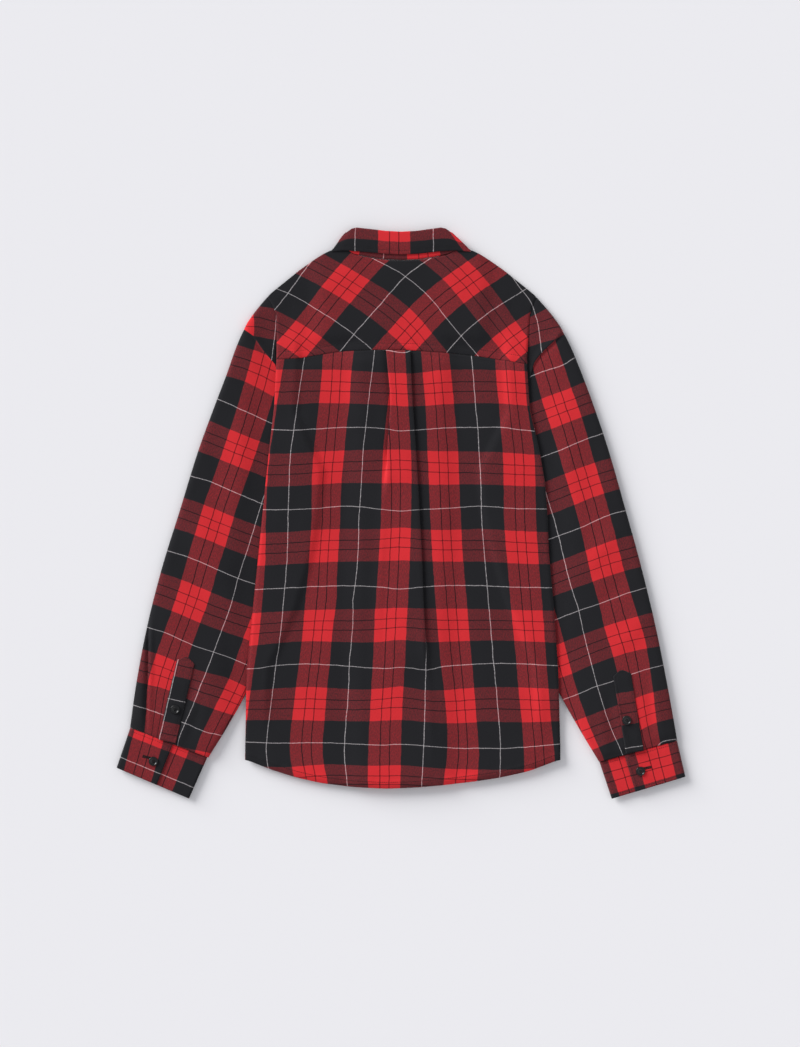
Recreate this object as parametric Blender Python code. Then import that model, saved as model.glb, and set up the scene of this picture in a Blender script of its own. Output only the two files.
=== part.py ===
"""Flannel shirt laid flat, back up: each cut-and-sewn piece is a wall of cloth of its own.

X runs across the shirt, Y from hem to collar and Z up from the surface it lies on.
The wearer's left is at -X. Lengths are in millimetres and become metres in build_sheet and
build_button.
"""

import math

import bmesh
import bpy
from mathutils import Vector

MM = 0.001
CLOTH = 1.2              # wall of every single cloth piece
COLLAR_CLOTH = 1.8       # the fall is sewn double over an interlining
CUFF_CLOTH = 1.5
GAP = 0.3                # left at each seam and between layers that lie on each other
LAYER = CLOTH + GAP      # from the middle of one layer to the middle of the next

FRONT_REST = CLOTH / 2   # middle height of cloth that lies on the surface
SLEEVE_REST = 0.75       # middle height of a sleeve's lower layer
BACK_REST = 3.0          # middle height of the back and yoke over the fronts
SIDE_SEAM_DROP = 0.9     # how far the back comes down to the front at the side seams
SEAM_FLAT, SEAM_REACH = 4, 20    # the drop is full this near the side edge, and gone there
BUTTON_LIFT = 2.5        # fronts ride over the buttons by this much
STACK_LIFT = 3.3         # back rides over buttons and lapped fronts
SLEEVE_LIFT = 3.9        # body rides over the tucked side of each sleeve
SLEEVE_TOP = 3.0         # middle height of a sleeve's upper layer where the body lies on it
SLEEVE_PUFF = 1.0        # extra height of the part of the sleeve that shows
CREASE_LIFT = 1.6        # the sleeve stands up this much along its crease below the cap
TUCK_RISE = 14           # width over which the body climbs onto a sleeve
TUCK_CLEAR = 8           # it is up this far before the sleeve's edge
TUCK_BESIDE = 4          # its climb stays this far inside the reach of the side seam
TUCK_HEM_FADE = (-320, -250)         # the body comes down off the cuff between these heights
YOKE_FADE = (216, 262)               # and off the sleeve cap between these

BUTTON_RADIUS = 5.8
BUTTON_THICK = 2.2
FRONT_BUTTONS_Y = (-250, -170, -90, -10, 70, 150, 228)
STAND_BUTTON_Y = 283
LAP = 17                 # half the width by which the fronts overlap
FRONT_HEM_UP = 2         # the fronts' hem lies this far inside the back's
FRONT_FADE = (LAP + 5, LAP + 40)     # the fronts come down to the surface between these
BACK_FADE = (52, 84)                 # the back comes down to its rest height between these
BACK_COLUMNS = (BACK_FADE[0], sum(BACK_FADE) / 2)
COLLAR_FADE_X, COLLAR_FADE_Y = (106, 134), (230, 252)
FLAP_DEPTH = 36          # yoke cloth that turns over the shoulder to the front
CUFF_LAP_END = 0.55      # where the cuff's upper end lies, from outer fold 0 to inner fold 1
CUFF_LAP_HIDDEN = 0.27   # how far the under end runs below it
PLEAT_STEP = 2 * LAYER   # the box panel stands this far above the cloth beside it

# Half widths of the body, from the shoulder point down to the hem.
SIDE_COLUMNS = ("y", "left", "right")
SIDE_EDGES = (
    (301, 186, 188),
    (293, 179.5, 184.5),
    (278, 174.5, 180.5),
    (258, 174, 179),
    (216, 174, 176),
    (150, 177, 180),
    (87, 184, 194),
    (42, 189, 201),
    (-1, 193, 204),
    (-65, 199, 207),
    (-149, 207, 214),
    (-246, 216, 220),
    (-360, 218, 223),
)

# Shoulder fold: (x, y) down the outline of the yoke from the neck to the sleeve, the same on
# both sides.
SHOULDER = ((80, 371), (109, 361), (141, 340), (167, 319), (188, 300))
NECK_HALF = 80
YOKE_COLUMNS = (0, 27, 54, NECK_HALF, 109, 141, 167, 188)
NECK_BACK_Y = 356        # neck seam at the centre of the back
# Neck seam of the fronts, (x, y), the same on both sides.
NECK_FRONT = ((0, 268), (28, 275.5), (48, 291), (66, 313), (NECK_HALF, 332))
NECK_SEAM = 1.0          # the collar band starts this far inside the front neck seam
BODY_ROWS = (196, 150, 105, 60, 20, -25, -70, -120, -165, -205, -246, -285, -320)
FRONT_TOP_ROW = 213      # first row of the fronts below the collar's fade
FRONT_TOP_COLUMNS = (174, 170, 155, 141, 125, 109)       # where the fronts meet the yoke's flap

# Seam between the yoke and the back, and the shirt tail, as (x, y).
YOKE_SEAM = ((-175, 216), (-146, 217), (-111, 223), (-85, 227), (-39, 229), (14, 228),
             (63, 225), (108, 220), (159, 212), (177, 209))
HEM = ((-218, -343), (-183, -357), (-114, -377), (-22, -384), (60, -379), (137, -369),
       (178, -360), (223, -343))

# Box pleat: fold lines of the raised panel, and how far the cloth runs in under each fold.
# A depth below zero is a fold that has opened.
PLEAT_COLUMNS = ("y", "left_x", "left_depth", "right_x", "right_depth")
PLEAT = (
    (230, -21, 14, 11, 15),
    (196, -17.5, 13, 13, 15),
    (150, -13, 11, 15, 15),
    (100, -17, 6, 18.5, 14),
    (50, -19, -3, 22, 13.5),
    (12, -20, -8, 24, 13),
    (-60, -22, -8, 28, 11),
    (-130, -24, -8, 30.5, 7),
    (-190, -26, -8, 34.5, -3),
    (-240, -28, -8, 37, -8),
    (-390, -30, -8, 42, -8),
)

# Sleeves: (outer x, outer y, inner x, inner y) at stations down the flattened tube, from its
# outer fold to its underarm fold, x as the distance from the centre.
SLEEVE = {
    "left": (
        (205, 277, 126, 40), (229, 235, 128, 20), (244, 193, 131, -5), (260, 151, 135, -32),
        (283, 88, 143, -70), (309, 4, 160, -130), (335, -80, 183, -182), (356, -164, 214, -246),
        (371, -245, 243, -298), (378.6, -299.6, 270, -341.6),
    ),
    "right": (
        (208, 277, 126, 40), (234, 235, 128, 20), (251, 193, 131, -5), (266, 151, 137, -32),
        (288, 88, 148, -70), (314, 4, 166, -130), (337, -80, 189, -182), (357, -164, 219, -246),
        (374, -250, 249, -300), (386, -317.6, 277.6, -347.6),
    ),
}
# Crease across each sleeve just below its cap, from the arm's outline to the armhole.
CREASE = ((219, 257), (208, 245), (192, 227), (175, 206))
# Armhole line of each sleeve, from the shoulder to the underarm.
ARMHOLE = {
    "left": ((186.9, 300.4), (180.4, 293), (175.4, 278), (174.9, 258), (174.9, 214),
             (162, 140), (124, 60)),
    "right": ((188.9, 300.4), (185.4, 293), (181.4, 278), (179.9, 258), (176.9, 214),
              (164, 140), (124, 60)),
}
# Cuffs: upper and lower edge, in the same columns as the sleeves.
CUFF = {
    "left": ((379, -300, 270.4, -342), (398, -356, 296, -399.5)),
    "right": ((386.2, -318, 277.8, -348), (398, -368.5, 295, -399.5)),
}
# Sleeve placket: the middle of its top and of its foot, on the sleeve.
PLACKET = {
    "left": {"top": (-301, -208), "foot": (-326, -314), "width": 25},
    "right": {"top": (309, -226), "foot": (326, -329), "width": 25},
}
PLACKET_BUTTON = {"left": (-315.6, -274), "right": (315.4, -289.4)}
CUFF_BUTTON = {"left": (-346.4, -346.8), "right": (335, -360.8)}

# Collar band and fall: (lower x, lower y, upper x, upper y) at each station, from the back
# centre round the side of the neck to the front.
STAND_BACK = ((0, 356.9, 0, 390), (24, 358.2, 22, 390.4), (46, 361.6, 42, 390.6),
              (64, 366, 58, 390))
STAND_SIDE = (78.5, 371.8, 70, 387)
STAND_FRONT_TOP = ((62, 362), (52, 343), (38, 320), (22, 303))
STAND_FRONT = tuple((x - 1.4 * NECK_SEAM, y + NECK_SEAM, *top) for (x, y), top in
                    zip(reversed(NECK_FRONT[1:]), STAND_FRONT_TOP))
FALL_BACK = ((0, 363.4, 0, 394.2), (24, 363.2, 22, 394.8), (48, 363.8, 44, 395.2),
             (74, 364.6, 62, 394))
FALL_SIDE = (94.5, 364, 71.5, 387.5)
FALL_FRONT = ((91, 330, 55, 360), (84, 302, 38, 334), (74, 280, 22, 312), (62, 258, 9, 296))
STAND_UP, STAND_DOWN = BACK_REST + STACK_LIFT, FRONT_REST + BUTTON_LIFT
FALL_UP = STAND_UP + CLOTH / 2 + GAP + COLLAR_CLOTH / 2
FALL_DOWN = COLLAR_CLOTH / 2


def clear_scene():
    for obj in list(bpy.data.objects):
        bpy.data.objects.remove(obj, do_unlink=True)


def material(name, color, roughness):
    made = bpy.data.materials.new(name)
    made.use_nodes = True
    shader = made.node_tree.nodes["Principled BSDF"]
    shader.inputs["Base Color"].default_value = (*color, 1.0)
    shader.inputs["Roughness"].default_value = roughness
    made.diffuse_color = (*color, 1.0)
    return made


def blend(value, low, high):
    """0 below low and 1 above high, with a smooth rise between."""
    share = min(max((value - low) / (high - low), 0.0), 1.0)
    return share * share * (3 - 2 * share)


def along(rows, key, column=1):
    """The value of a column at this key, by straight lines between rows sorted on column 0."""
    rows = sorted(rows)
    if key <= rows[0][0]:
        return rows[0][column]
    for low, high in zip(rows, rows[1:]):
        if key <= high[0]:
            share = (key - low[0]) / (high[0] - low[0])
            return low[column] + share * (high[column] - low[column])
    return rows[-1][column]


def between(first, second, share):
    return tuple(a + (b - a) * share for a, b in zip(first, second))


def side_of(x):
    return "left" if x < 0 else "right"


def edge_x(y, side):
    return along(SIDE_EDGES, y, SIDE_COLUMNS.index(side))


def tuck_x(y, side):
    """How far from the centre the tucked edge of the sleeve lies, at this height up the body."""
    rows = [(row[3], row[2]) for row in SLEEVE[side]]
    rows += [(y, x) for x, y in ARMHOLE[side][-3:]]
    return along(rows, y)


def tuck_columns(y, side):
    """Where the body is fully up on the sleeve, and where it starts to climb."""
    upper = min(tuck_x(y, side) - TUCK_CLEAR, edge_x(y, side) - SEAM_REACH - TUCK_BESIDE)
    return upper, upper - TUCK_RISE


def over_sleeve(x, y):
    upper, lower = tuck_columns(y, side_of(x))
    return blend(abs(x), lower, upper) * blend(y, *TUCK_HEM_FADE) * (1 - blend(y, *YOKE_FADE))


def under_collar(x, y):
    return (1 - blend(abs(x), *COLLAR_FADE_X)) * blend(y, *COLLAR_FADE_Y)


def front_height(x, y):
    lift = max(1 - blend(abs(x), *FRONT_FADE), under_collar(x, y))
    return FRONT_REST + BUTTON_LIFT * lift + SLEEVE_LIFT * over_sleeve(x, y)


def back_height(x, y):
    lift = max(1 - blend(abs(x), *BACK_FADE), under_collar(x, y))
    seam = 1 - blend(edge_x(y, side_of(x)) - abs(x), SEAM_FLAT, SEAM_REACH)
    drop = SIDE_SEAM_DROP * seam * (1 - blend(y, *YOKE_FADE))
    return BACK_REST - drop + STACK_LIFT * lift + SLEEVE_LIFT * over_sleeve(x, y)


def side_columns(y, side):
    """Distances from the centre of the lines of points that fronts and back share, edge first."""
    edge = edge_x(y, side)
    upper, lower = tuck_columns(y, side)
    inner = BACK_FADE[1]
    return [edge, edge - SEAM_FLAT, edge - SEAM_REACH, upper, lower, (lower + inner) / 2, inner]


def build_sheet(name, patches, thickness, finish):
    """One wall of cloth: each patch is a grid of points at mid-thickness, sewn where points meet."""
    mesh = bpy.data.meshes.new(name)
    body = bmesh.new()
    made = {}

    def vertex(point):
        key = tuple(round(value, 3) for value in point)
        if key not in made:
            made[key] = body.verts.new(Vector(point) * MM)
        return made[key]

    for patch in patches:
        grid = [[vertex(point) for point in row] for row in patch]
        for row, following in zip(grid, grid[1:]):
            for i in range(len(row) - 1):
                corners = list(dict.fromkeys((row[i], row[i + 1], following[i + 1], following[i])))
                if len(corners) > 2:
                    body.faces.new(corners)
    bmesh.ops.recalc_face_normals(body, faces=body.faces)
    body.to_mesh(mesh)
    body.free()
    mesh.shade_smooth()
    mesh.materials.append(finish)
    piece = bpy.data.objects.new(name, mesh)
    bpy.context.collection.objects.link(piece)
    wall = piece.modifiers.new("Cloth wall", "SOLIDIFY")
    wall.thickness = thickness * MM
    wall.offset = 0
    wall.use_even_offset = True
    return piece


def build_button(name, place, finish):
    """A turned disc with a raised rim; place is the middle of its lower face."""
    sides = 12
    rim, dish = BUTTON_RADIUS, BUTTON_RADIUS - 1.6
    profile = ((rim - 0.5, 0), (rim, 0.8), (rim, 1.6), (rim - 0.6, BUTTON_THICK),
               (dish, BUTTON_THICK - 0.5))
    mesh = bpy.data.meshes.new(name)
    body = bmesh.new()
    rings = []
    for radius, height in profile:
        turn = [2 * math.pi * i / sides for i in range(sides)]
        rings.append([body.verts.new(Vector((radius * math.cos(a), radius * math.sin(a), height)) * MM)
                      for a in turn])
    for low, high in zip(rings, rings[1:]):
        for i in range(sides):
            j = (i + 1) % sides
            body.faces.new((low[i], low[j], high[j], high[i]))
    body.faces.new(list(reversed(rings[0])))
    body.faces.new(rings[-1])
    body.to_mesh(mesh)
    body.free()
    mesh.materials.append(finish)
    piece = bpy.data.objects.new(name, mesh)
    piece.location = Vector(place) * MM
    bpy.context.collection.objects.link(piece)
    return piece


def pleat_fold(x, depth, height, direction):
    """Points of one fold of the box pleat, from the cloth beside it up to the box panel.

    direction is +1 on the left fold, where the box lies towards +X, and -1 on the right."""
    folded = blend(depth, -3, 3)
    step = PLEAT_STEP * blend(depth, -8, -3)
    inner = x + direction * depth
    bulge = direction * LAYER / 2
    s_fold = ((inner, 0), (inner + bulge, 0.25), (inner, 0.5), (x, 0.5), (x - bulge, 0.75), (x, 1))
    ramp_low = x + direction * min(depth, 0)
    ramp = [(ramp_low + (x - ramp_low) * i / 5, i / 5) for i in range(6)]
    return [(r[0] + (s[0] - r[0]) * folded, height + step * (r[1] + (s[1] - r[1]) * folded))
            for r, s in zip(ramp, s_fold)]


def shoulder_y(x):
    """Outline of the top of the yoke: the shoulder fold, and the neck seam between the shoulders."""
    if abs(x) < NECK_HALF:
        return NECK_BACK_Y + (SHOULDER[0][1] - NECK_BACK_Y) * (x / NECK_HALF) ** 2
    return along(SHOULDER, abs(x))


def shaped(share, y):
    """A line of points down the yoke, a fixed share of the way out to the armhole."""
    return share * edge_x(y, side_of(share))


def flap_edge(sign):
    """Lower edge of the cloth that turns over the shoulder, where the front is sewn to it."""
    edge = []
    for x in (x for x in YOKE_COLUMNS if x >= NECK_HALF):
        y = shoulder_y(x) - CLOTH / 2 - FLAP_DEPTH
        edge.append((abs(shaped(sign * x / YOKE_COLUMNS[-1], y)), y))
    return edge


def seam_y(x):
    """Lower edge of the yoke, by straight runs between its columns."""
    half = YOKE_SEAM[-1][0]
    edge = [(sign * column / YOKE_COLUMNS[-1] * half) for column in YOKE_COLUMNS for sign in (-1, 1)]
    return along([(place, along(YOKE_SEAM, place)) for place in sorted(set(edge))], x)


def build_back(finish):
    hem_edge = HEM[0][1]
    rows = []
    for level in ("seam", *BODY_ROWS, "hem"):
        middle_y = {"seam": seam_y(0), "hem": along(HEM, 0)}.get(level, level)
        side_y = {"seam": YOKE_FADE[0], "hem": hem_edge}.get(level, level)

        def level_y(x):
            if level == "seam":
                return seam_y(x) - 2 * GAP
            return along(HEM, x) if level == "hem" else level

        fold = {name: along(PLEAT, middle_y, i) for i, name in enumerate(PLEAT_COLUMNS)}
        base = back_height(0, middle_y)
        left = pleat_fold(fold["left_x"], fold["left_depth"], base, 1)
        right = pleat_fold(fold["right_x"], fold["right_depth"], base, -1)
        row = [(-x, level_y(-x), back_height(-x, side_y)) for x in side_columns(side_y, "left")]
        row += [(-x, level_y(-x), back_height(-x, side_y)) for x in reversed(BACK_COLUMNS)]
        row += [(x, level_y(x), z) for x, z in left]
        middle = (left[-1][0] + right[-1][0]) / 2
        row.append((middle, level_y(middle), (left[-1][1] + right[-1][1]) / 2))
        row += [(x, level_y(x), z) for x, z in reversed(right)]
        row += [(x, level_y(x), back_height(x, side_y)) for x in BACK_COLUMNS]
        row += [(x, level_y(x), back_height(x, side_y))
                for x in reversed(side_columns(side_y, "right"))]
        rows.append(row)
    return build_sheet("back", [rows], CLOTH, finish)


def build_yoke(finish):
    width = YOKE_COLUMNS[-1]
    columns = [-x for x in reversed(YOKE_COLUMNS[1:])] + list(YOKE_COLUMNS)
    plate, flaps = [], {"left": [], "right": []}
    for x in columns:
        share = x / width
        top = shoulder_y(x) - CLOTH / 2
        fold = abs(x) >= NECK_HALF
        low_height = front_height(x, top)
        radius = (back_height(x, top) - low_height) / 2
        if fold:
            top -= radius
        bottom = seam_y(share * YOKE_SEAM[-1][0])
        line = []
        for part in (0, 0.25, 0.5, 0.75, 0.93, 1):
            y = bottom + (top - bottom) * part
            px = shaped(share, y)
            line.append((px, y, back_height(px, y)))
        plate.append(line)
        if fold:
            px = line[-1][0]
            middle = low_height + radius
            turn = [(px, top + radius * math.cos(a), middle + radius * math.sin(a))
                    for a in (math.radians(d) for d in (45, 0, -45))]
            flap = [line[-1]] + turn
            for down in (0, 0.4, 1):
                y = top - (FLAP_DEPTH - radius) * down
                fx = shaped(share, y)
                flap.append((fx, y, front_height(fx, y) if down else low_height))
            flaps[side_of(x)].append(flap)
    return build_sheet("yoke", [plate, flaps["left"], flaps["right"]], CLOTH, finish)


def front_top(x):
    """Top edge of a front: the neck seam, then the seam with the yoke's flap."""
    if abs(x) <= NECK_HALF:
        return along(NECK_FRONT, abs(x))
    return along(flap_edge(math.copysign(1, x)), abs(x)) - NECK_SEAM


def build_front(name, side, finish):
    sign = -1 if side == "left" else 1
    rise = LAYER if side == "right" else 0
    neck = [row[0] for row in reversed(NECK_FRONT[1:])]
    tops = [*FRONT_TOP_COLUMNS, *neck, 0, -LAP]
    middle = [neck[1], FRONT_FADE[1], sum(FRONT_FADE) / 2, FRONT_FADE[0], -LAP]

    def place(x, y, side_y):
        lapped = 1 - blend(x, *FRONT_FADE)
        return sign * x, y, front_height(sign * x, side_y) + rise * lapped

    rows = [[place(x, front_top(sign * x), front_top(sign * x)) for x in tops]]
    for y in (COLLAR_FADE_Y[1], COLLAR_FADE_Y[0], FRONT_TOP_ROW, *BODY_ROWS):
        rows.append([place(x, y, y) for x in side_columns(y, side) + middle])
    hem_edge = HEM[0][1]
    last = side_columns(hem_edge, side) + middle
    rows.append([place(x, along(HEM, sign * x) + FRONT_HEM_UP, hem_edge) for x in last])
    return build_sheet(name, [rows], CLOTH, finish)


def crease_lift(x, y):
    """Ridge along the crease below the sleeve cap: steep above it and soft below."""
    reach = abs(x)
    if not CREASE[-1][0] <= reach <= CREASE[0][0]:
        return 0.0
    below = along(CREASE, reach) - y
    return CREASE_LIFT * blend(below, -5, 0) * (1 - blend(below, 6, 32))


def sleeve_height(x, y, side):
    """Middle height of a sleeve's upper layer: low under the body, fuller where it shows."""
    clear = abs(x) - edge_x(y, side)
    return SLEEVE_TOP + SLEEVE_PUFF * blend(clear, 25, 70) + crease_lift(x, y) * blend(clear, 12, 40)


def on_line(points, share):
    """The point this share of the way along a line of straight runs."""
    lengths = [math.dist(a, b) for a, b in zip(points, points[1:])]
    left = share * sum(lengths)
    for start, end, length in zip(points, points[1:], lengths):
        if left <= length:
            return between(start, end, left / length)
        left -= length
    return points[-1]


def sleeve_ring(line, side):
    """A flattened ring on this line: over the top from the outer to the inner fold, and back."""
    radius = (SLEEVE_TOP - SLEEVE_REST) / 2
    length = sum(math.dist(a, b) for a, b in zip(line, line[1:]))
    fold, inset = CLOTH / 2 / length, (CLOTH / 2 + radius) / length
    middle = SLEEVE_REST + radius
    ring = []
    for share in (inset, 0.08, 0.16, 0.24, 0.34, 0.5, 0.75, 1 - inset):
        x, y = on_line(line, share)
        ring.append((x, y, sleeve_height(x, y, side) if share > inset else SLEEVE_TOP))
    ring.append((*on_line(line, 1 - fold), middle))
    ring += [(*on_line(line, share), SLEEVE_REST) for share in (1 - inset, 0.7, 0.4, inset)]
    ring.append((*on_line(line, fold), middle))
    return ring + ring[:1]


def build_sleeve(side, finish):
    sign = -1 if side == "left" else 1
    lines = [ARMHOLE[side]] + [(row[:2], row[2:]) for row in SLEEVE[side]]
    rings = [[(sign * x, y, z) for x, y, z in sleeve_ring(line, side)] for line in lines]
    return build_sheet(f"sleeve_{side}", [rings], CLOTH, finish)


def build_cuff(side, finish):
    """A band whose ends lap: the upper end lies over the under end, next to the placket."""
    sign = -1 if side == "left" else 1
    low = CUFF_CLOTH / 2
    layer = CUFF_CLOTH + GAP
    under, upper = low + layer, low + 2 * layer
    inset = 0.03
    path = ((CUFF_LAP_END, upper), (0.3, upper), (inset, upper - 0.3), (0.008, (low + upper) / 2),
            (inset, low), (0.35, low), (0.7, low), (1 - inset, low), (0.992, (low + under) / 2),
            (1 - inset, under), (0.8, under), (CUFF_LAP_END + 0.08, under),
            (CUFF_LAP_HIDDEN, under))
    rows = []
    for share in (0, 0.5, 1):
        edge = between(CUFF[side][0], CUFF[side][1], share)
        outer, inner = edge[:2], edge[2:]
        rows.append([(sign * x, y, z) for (x, y), z in
                     ((between(outer, inner, across), z) for across, z in path)])
    return build_sheet(f"cuff_{side}", [rows], CUFF_CLOTH, finish)


def build_placket(side, finish):
    """The bound slit above the cuff: a pointed strip made from points on the sleeve, moved out."""
    spec = PLACKET[side]
    top, foot = Vector(spec["top"]), Vector(spec["foot"])
    run = foot - top
    across = Vector((-run.y, run.x)).normalized() * spec["width"] / 2
    rows = []
    for share, half in ((-0.09, 0.12), (0, 1), (0.33, 1), (0.66, 1), (1, 1)):
        middle = top + run * share
        row = []
        for reach in (-half, 0, half):
            point = middle + across * reach
            height = sleeve_height(abs(point.x), point.y, side) + CLOTH + GAP
            row.append((point.x, point.y, height))
        rows.append(row)
    return build_sheet(f"sleeve_placket_{side}", [rows], CLOTH, finish)


def band_half(sign, back, side, front, up, down, ends):
    """Half a collar piece, from the back centre round the side fold to the front."""
    rows = [(row, up) for row in back]
    radius = (up - down) / 2
    turn = Vector((side[0] - side[2], side[1] - side[3]))
    outward = Vector((-turn.y, turn.x)).normalized()
    for degrees in (90, 40, 0, -40, -90):
        angle = math.radians(degrees)
        out = outward * radius * math.cos(angle)
        row = (side[0] + out.x, side[1] + out.y, side[2] + out.x, side[3] + out.y)
        rows.append((row, down + radius + radius * math.sin(angle)))
    rows += [(row, down) for row in front]
    rows += ends
    stations = []
    for (low_x, low_y, top_x, top_y), z in rows:
        stations.append([(sign * between((low_x, low_y), (top_x, top_y), share)[0],
                          between((low_x, low_y), (top_x, top_y), share)[1], z)
                         for share in (0, 0.5, 1)])
    return stations


def build_stand(finish):
    """The neck band: its left end lies lowest at the front and the right end laps inside it."""
    reach = LAP - 5
    middle, end = (0, 269.2, 0, 297), (-reach, 272.4, -reach, 297.6)
    lower, upper = STAND_DOWN, STAND_DOWN + LAYER
    left_ends = [(middle, lower), (end, lower)]
    right_ends = [((16, 273.5, 14, 298.6), upper), (middle, upper), (end, upper)]
    left = band_half(-1, STAND_BACK, STAND_SIDE, STAND_FRONT, STAND_UP, STAND_DOWN, left_ends)
    right = band_half(1, STAND_BACK, STAND_SIDE, STAND_FRONT, STAND_UP, STAND_DOWN, right_ends)
    return build_sheet("collar_stand", [left, right], CLOTH, finish)


def build_collar(finish):
    halves = [band_half(sign, FALL_BACK, FALL_SIDE, FALL_FRONT, FALL_UP, FALL_DOWN, [])
              for sign in (-1, 1)]
    return build_sheet("collar", halves, COLLAR_CLOTH, finish)


def build_buttons(finish):
    for i, y in enumerate(FRONT_BUTTONS_Y, start=1):
        build_button(f"button_front_{i}", (0, y, 0), finish)
    build_button("button_stand", (0, STAND_BUTTON_Y, 0), finish)
    for side in ("left", "right"):
        x, y = PLACKET_BUTTON[side]
        on_sleeve = sleeve_height(abs(x), y, side) + CLOTH + GAP + CLOTH / 2
        build_button(f"button_placket_{side}", (x, y, on_sleeve + GAP), finish)
        on_cuff = 3 * CUFF_CLOTH + 2 * GAP
        build_button(f"button_cuff_{side}", (*CUFF_BUTTON[side], on_cuff + GAP), finish)


def main():
    clear_scene()
    red = material("flannel_red", (0.42, 0.02, 0.03), 0.9)
    dark = material("flannel_dark", (0.10, 0.015, 0.02), 0.9)
    black = material("button_black", (0.01, 0.01, 0.011), 0.2)
    build_back(red)
    build_yoke(dark)
    build_front("front_left", "left", red)
    build_front("front_right", "right", red)
    build_stand(dark)
    build_collar(dark)
    for side in ("left", "right"):
        build_sleeve(side, red)
        build_cuff(side, dark)
        build_placket(side, dark)
    build_buttons(black)


main()
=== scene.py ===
import math

import bmesh
import bpy
import numpy as np
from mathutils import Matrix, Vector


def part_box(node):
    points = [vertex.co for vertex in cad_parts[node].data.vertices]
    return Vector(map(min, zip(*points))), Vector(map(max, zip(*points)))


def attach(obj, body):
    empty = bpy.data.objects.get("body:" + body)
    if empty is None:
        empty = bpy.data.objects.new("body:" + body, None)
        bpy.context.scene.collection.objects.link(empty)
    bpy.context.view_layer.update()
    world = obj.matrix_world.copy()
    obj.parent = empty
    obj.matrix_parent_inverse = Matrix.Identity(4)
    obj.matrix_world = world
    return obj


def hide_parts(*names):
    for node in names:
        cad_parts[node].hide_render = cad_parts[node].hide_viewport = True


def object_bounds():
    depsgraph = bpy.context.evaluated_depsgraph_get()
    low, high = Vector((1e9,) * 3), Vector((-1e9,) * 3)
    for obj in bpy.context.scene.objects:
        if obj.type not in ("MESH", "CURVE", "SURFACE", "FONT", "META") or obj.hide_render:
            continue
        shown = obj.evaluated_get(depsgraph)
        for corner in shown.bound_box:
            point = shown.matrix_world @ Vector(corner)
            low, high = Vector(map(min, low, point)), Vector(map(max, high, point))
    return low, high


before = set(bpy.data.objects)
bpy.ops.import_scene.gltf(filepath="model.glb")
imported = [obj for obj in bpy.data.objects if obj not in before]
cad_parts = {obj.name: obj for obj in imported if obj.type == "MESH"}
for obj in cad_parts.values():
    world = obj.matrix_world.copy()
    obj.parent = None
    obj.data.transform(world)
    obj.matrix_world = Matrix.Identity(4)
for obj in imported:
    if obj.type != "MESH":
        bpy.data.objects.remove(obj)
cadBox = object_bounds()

# Flannel shirt laid flat, back up. Lengths in this script are millimetres: X across the shirt,
# Y from hem to collar, Z up. The wearer's left is at -X. Blender's own units are metres.
metre = 0.001


def rise(value, low, high):
    # 0 below low, 1 above high, smooth between
    share = np.clip((np.asarray(value, float) - low) / (high - low), 0, 1)
    return share * share * (3 - 2 * share)


def along(rows, key, column=1):
    # value of a column at this key, by straight runs between rows
    rows = np.array(sorted(rows), float)
    return np.interp(key, rows[:, 0], rows[:, column])


def softAlong(rows, key, column=1):
    # the same, rounded off at the rows by an average of nearby keys
    key = np.asarray(key, float)
    reach = (np.max([row[0] for row in rows]) - np.min([row[0] for row in rows])) * 0.02
    return sum(along(rows, key + shift * reach, column) for shift in (-1, -0.5, 0, 0.5, 1)) / 5


def through(points, stiffness=0.0):
    # smooth surface through (x, y, value) points: a thin plate
    table = np.array(points, float)
    place, value = table[:, :2] / 100, table[:, 2]
    count = len(table)

    def bend(x, y, px, py):
        square = (x[..., None] - px) ** 2 + (y[..., None] - py) ** 2
        return square * np.log(square + 1e-9)

    system = np.zeros((count + 3, count + 3))
    system[:count, :count] = bend(place[:, 0], place[:, 1], place[:, 0], place[:, 1])
    system[:count, :count] += np.eye(count) * stiffness
    system[:count, count] = 1
    system[:count, count + 1:] = place
    system[count, :count] = 1
    system[count + 1:, :count] = place.T
    answer = np.linalg.solve(system, np.append(value, (0, 0, 0)))

    def surface(x, y):
        x, y = np.asarray(x, float) / 100, np.asarray(y, float) / 100
        plane = answer[count] + answer[count + 1] * x + answer[count + 2] * y
        return plane + bend(x, y, place[:, 0], place[:, 1]) @ answer[:count]

    return surface


def crossings(rows, marks):
    # rows of (y, x at each mark) as points for through()
    return [(x, row[0], mark) for row in rows for x, mark in zip(row[1:], marks) if x is not None]


def threads(lines):
    # lines of (value, (x, y), (x, y) ...) as points for through()
    return [(x, y, line[0]) for line in lines for x, y in line[1:]]


def softFolds(folds, x, y):
    # each fold is (x, y) to (x, y), half width and height; below zero it is a trough
    total = np.zeros(np.broadcast(x, y).shape)
    for (x0, y0), (x1, y1), width, height in folds:
        run = math.hypot(x1 - x0, y1 - y0)
        ux, uy = (x1 - x0) / run, (y1 - y0) / run
        down = (x - x0) * ux + (y - y0) * uy
        side = (y - y0) * ux - (x - x0) * uy
        taper = rise(down, -0.15 * run, 0.25 * run) * (1 - rise(down, 0.75 * run, 1.15 * run))
        total = total + height * taper * np.exp(-(side / width) ** 2)
    return total


def lieUneven(x, y, seed):
    # slow waves of cloth that isn't pressed quite flat, about 1 high
    turn = np.random.default_rng(seed).uniform(0, 2 * math.pi, 6)
    waves = np.sin(x / 31 + y / 83 + turn[0]) + np.sin(y / 47 - x / 71 + turn[1])
    waves = waves + 0.6 * np.sin(x / 17 - y / 38 + turn[2]) + 0.6 * np.sin(y / 19 + x / 53 + turn[3])
    return (waves + 0.4 * np.sin(x / 9 + turn[4]) * np.sin(y / 23 + turn[5])) / 3.6


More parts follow.
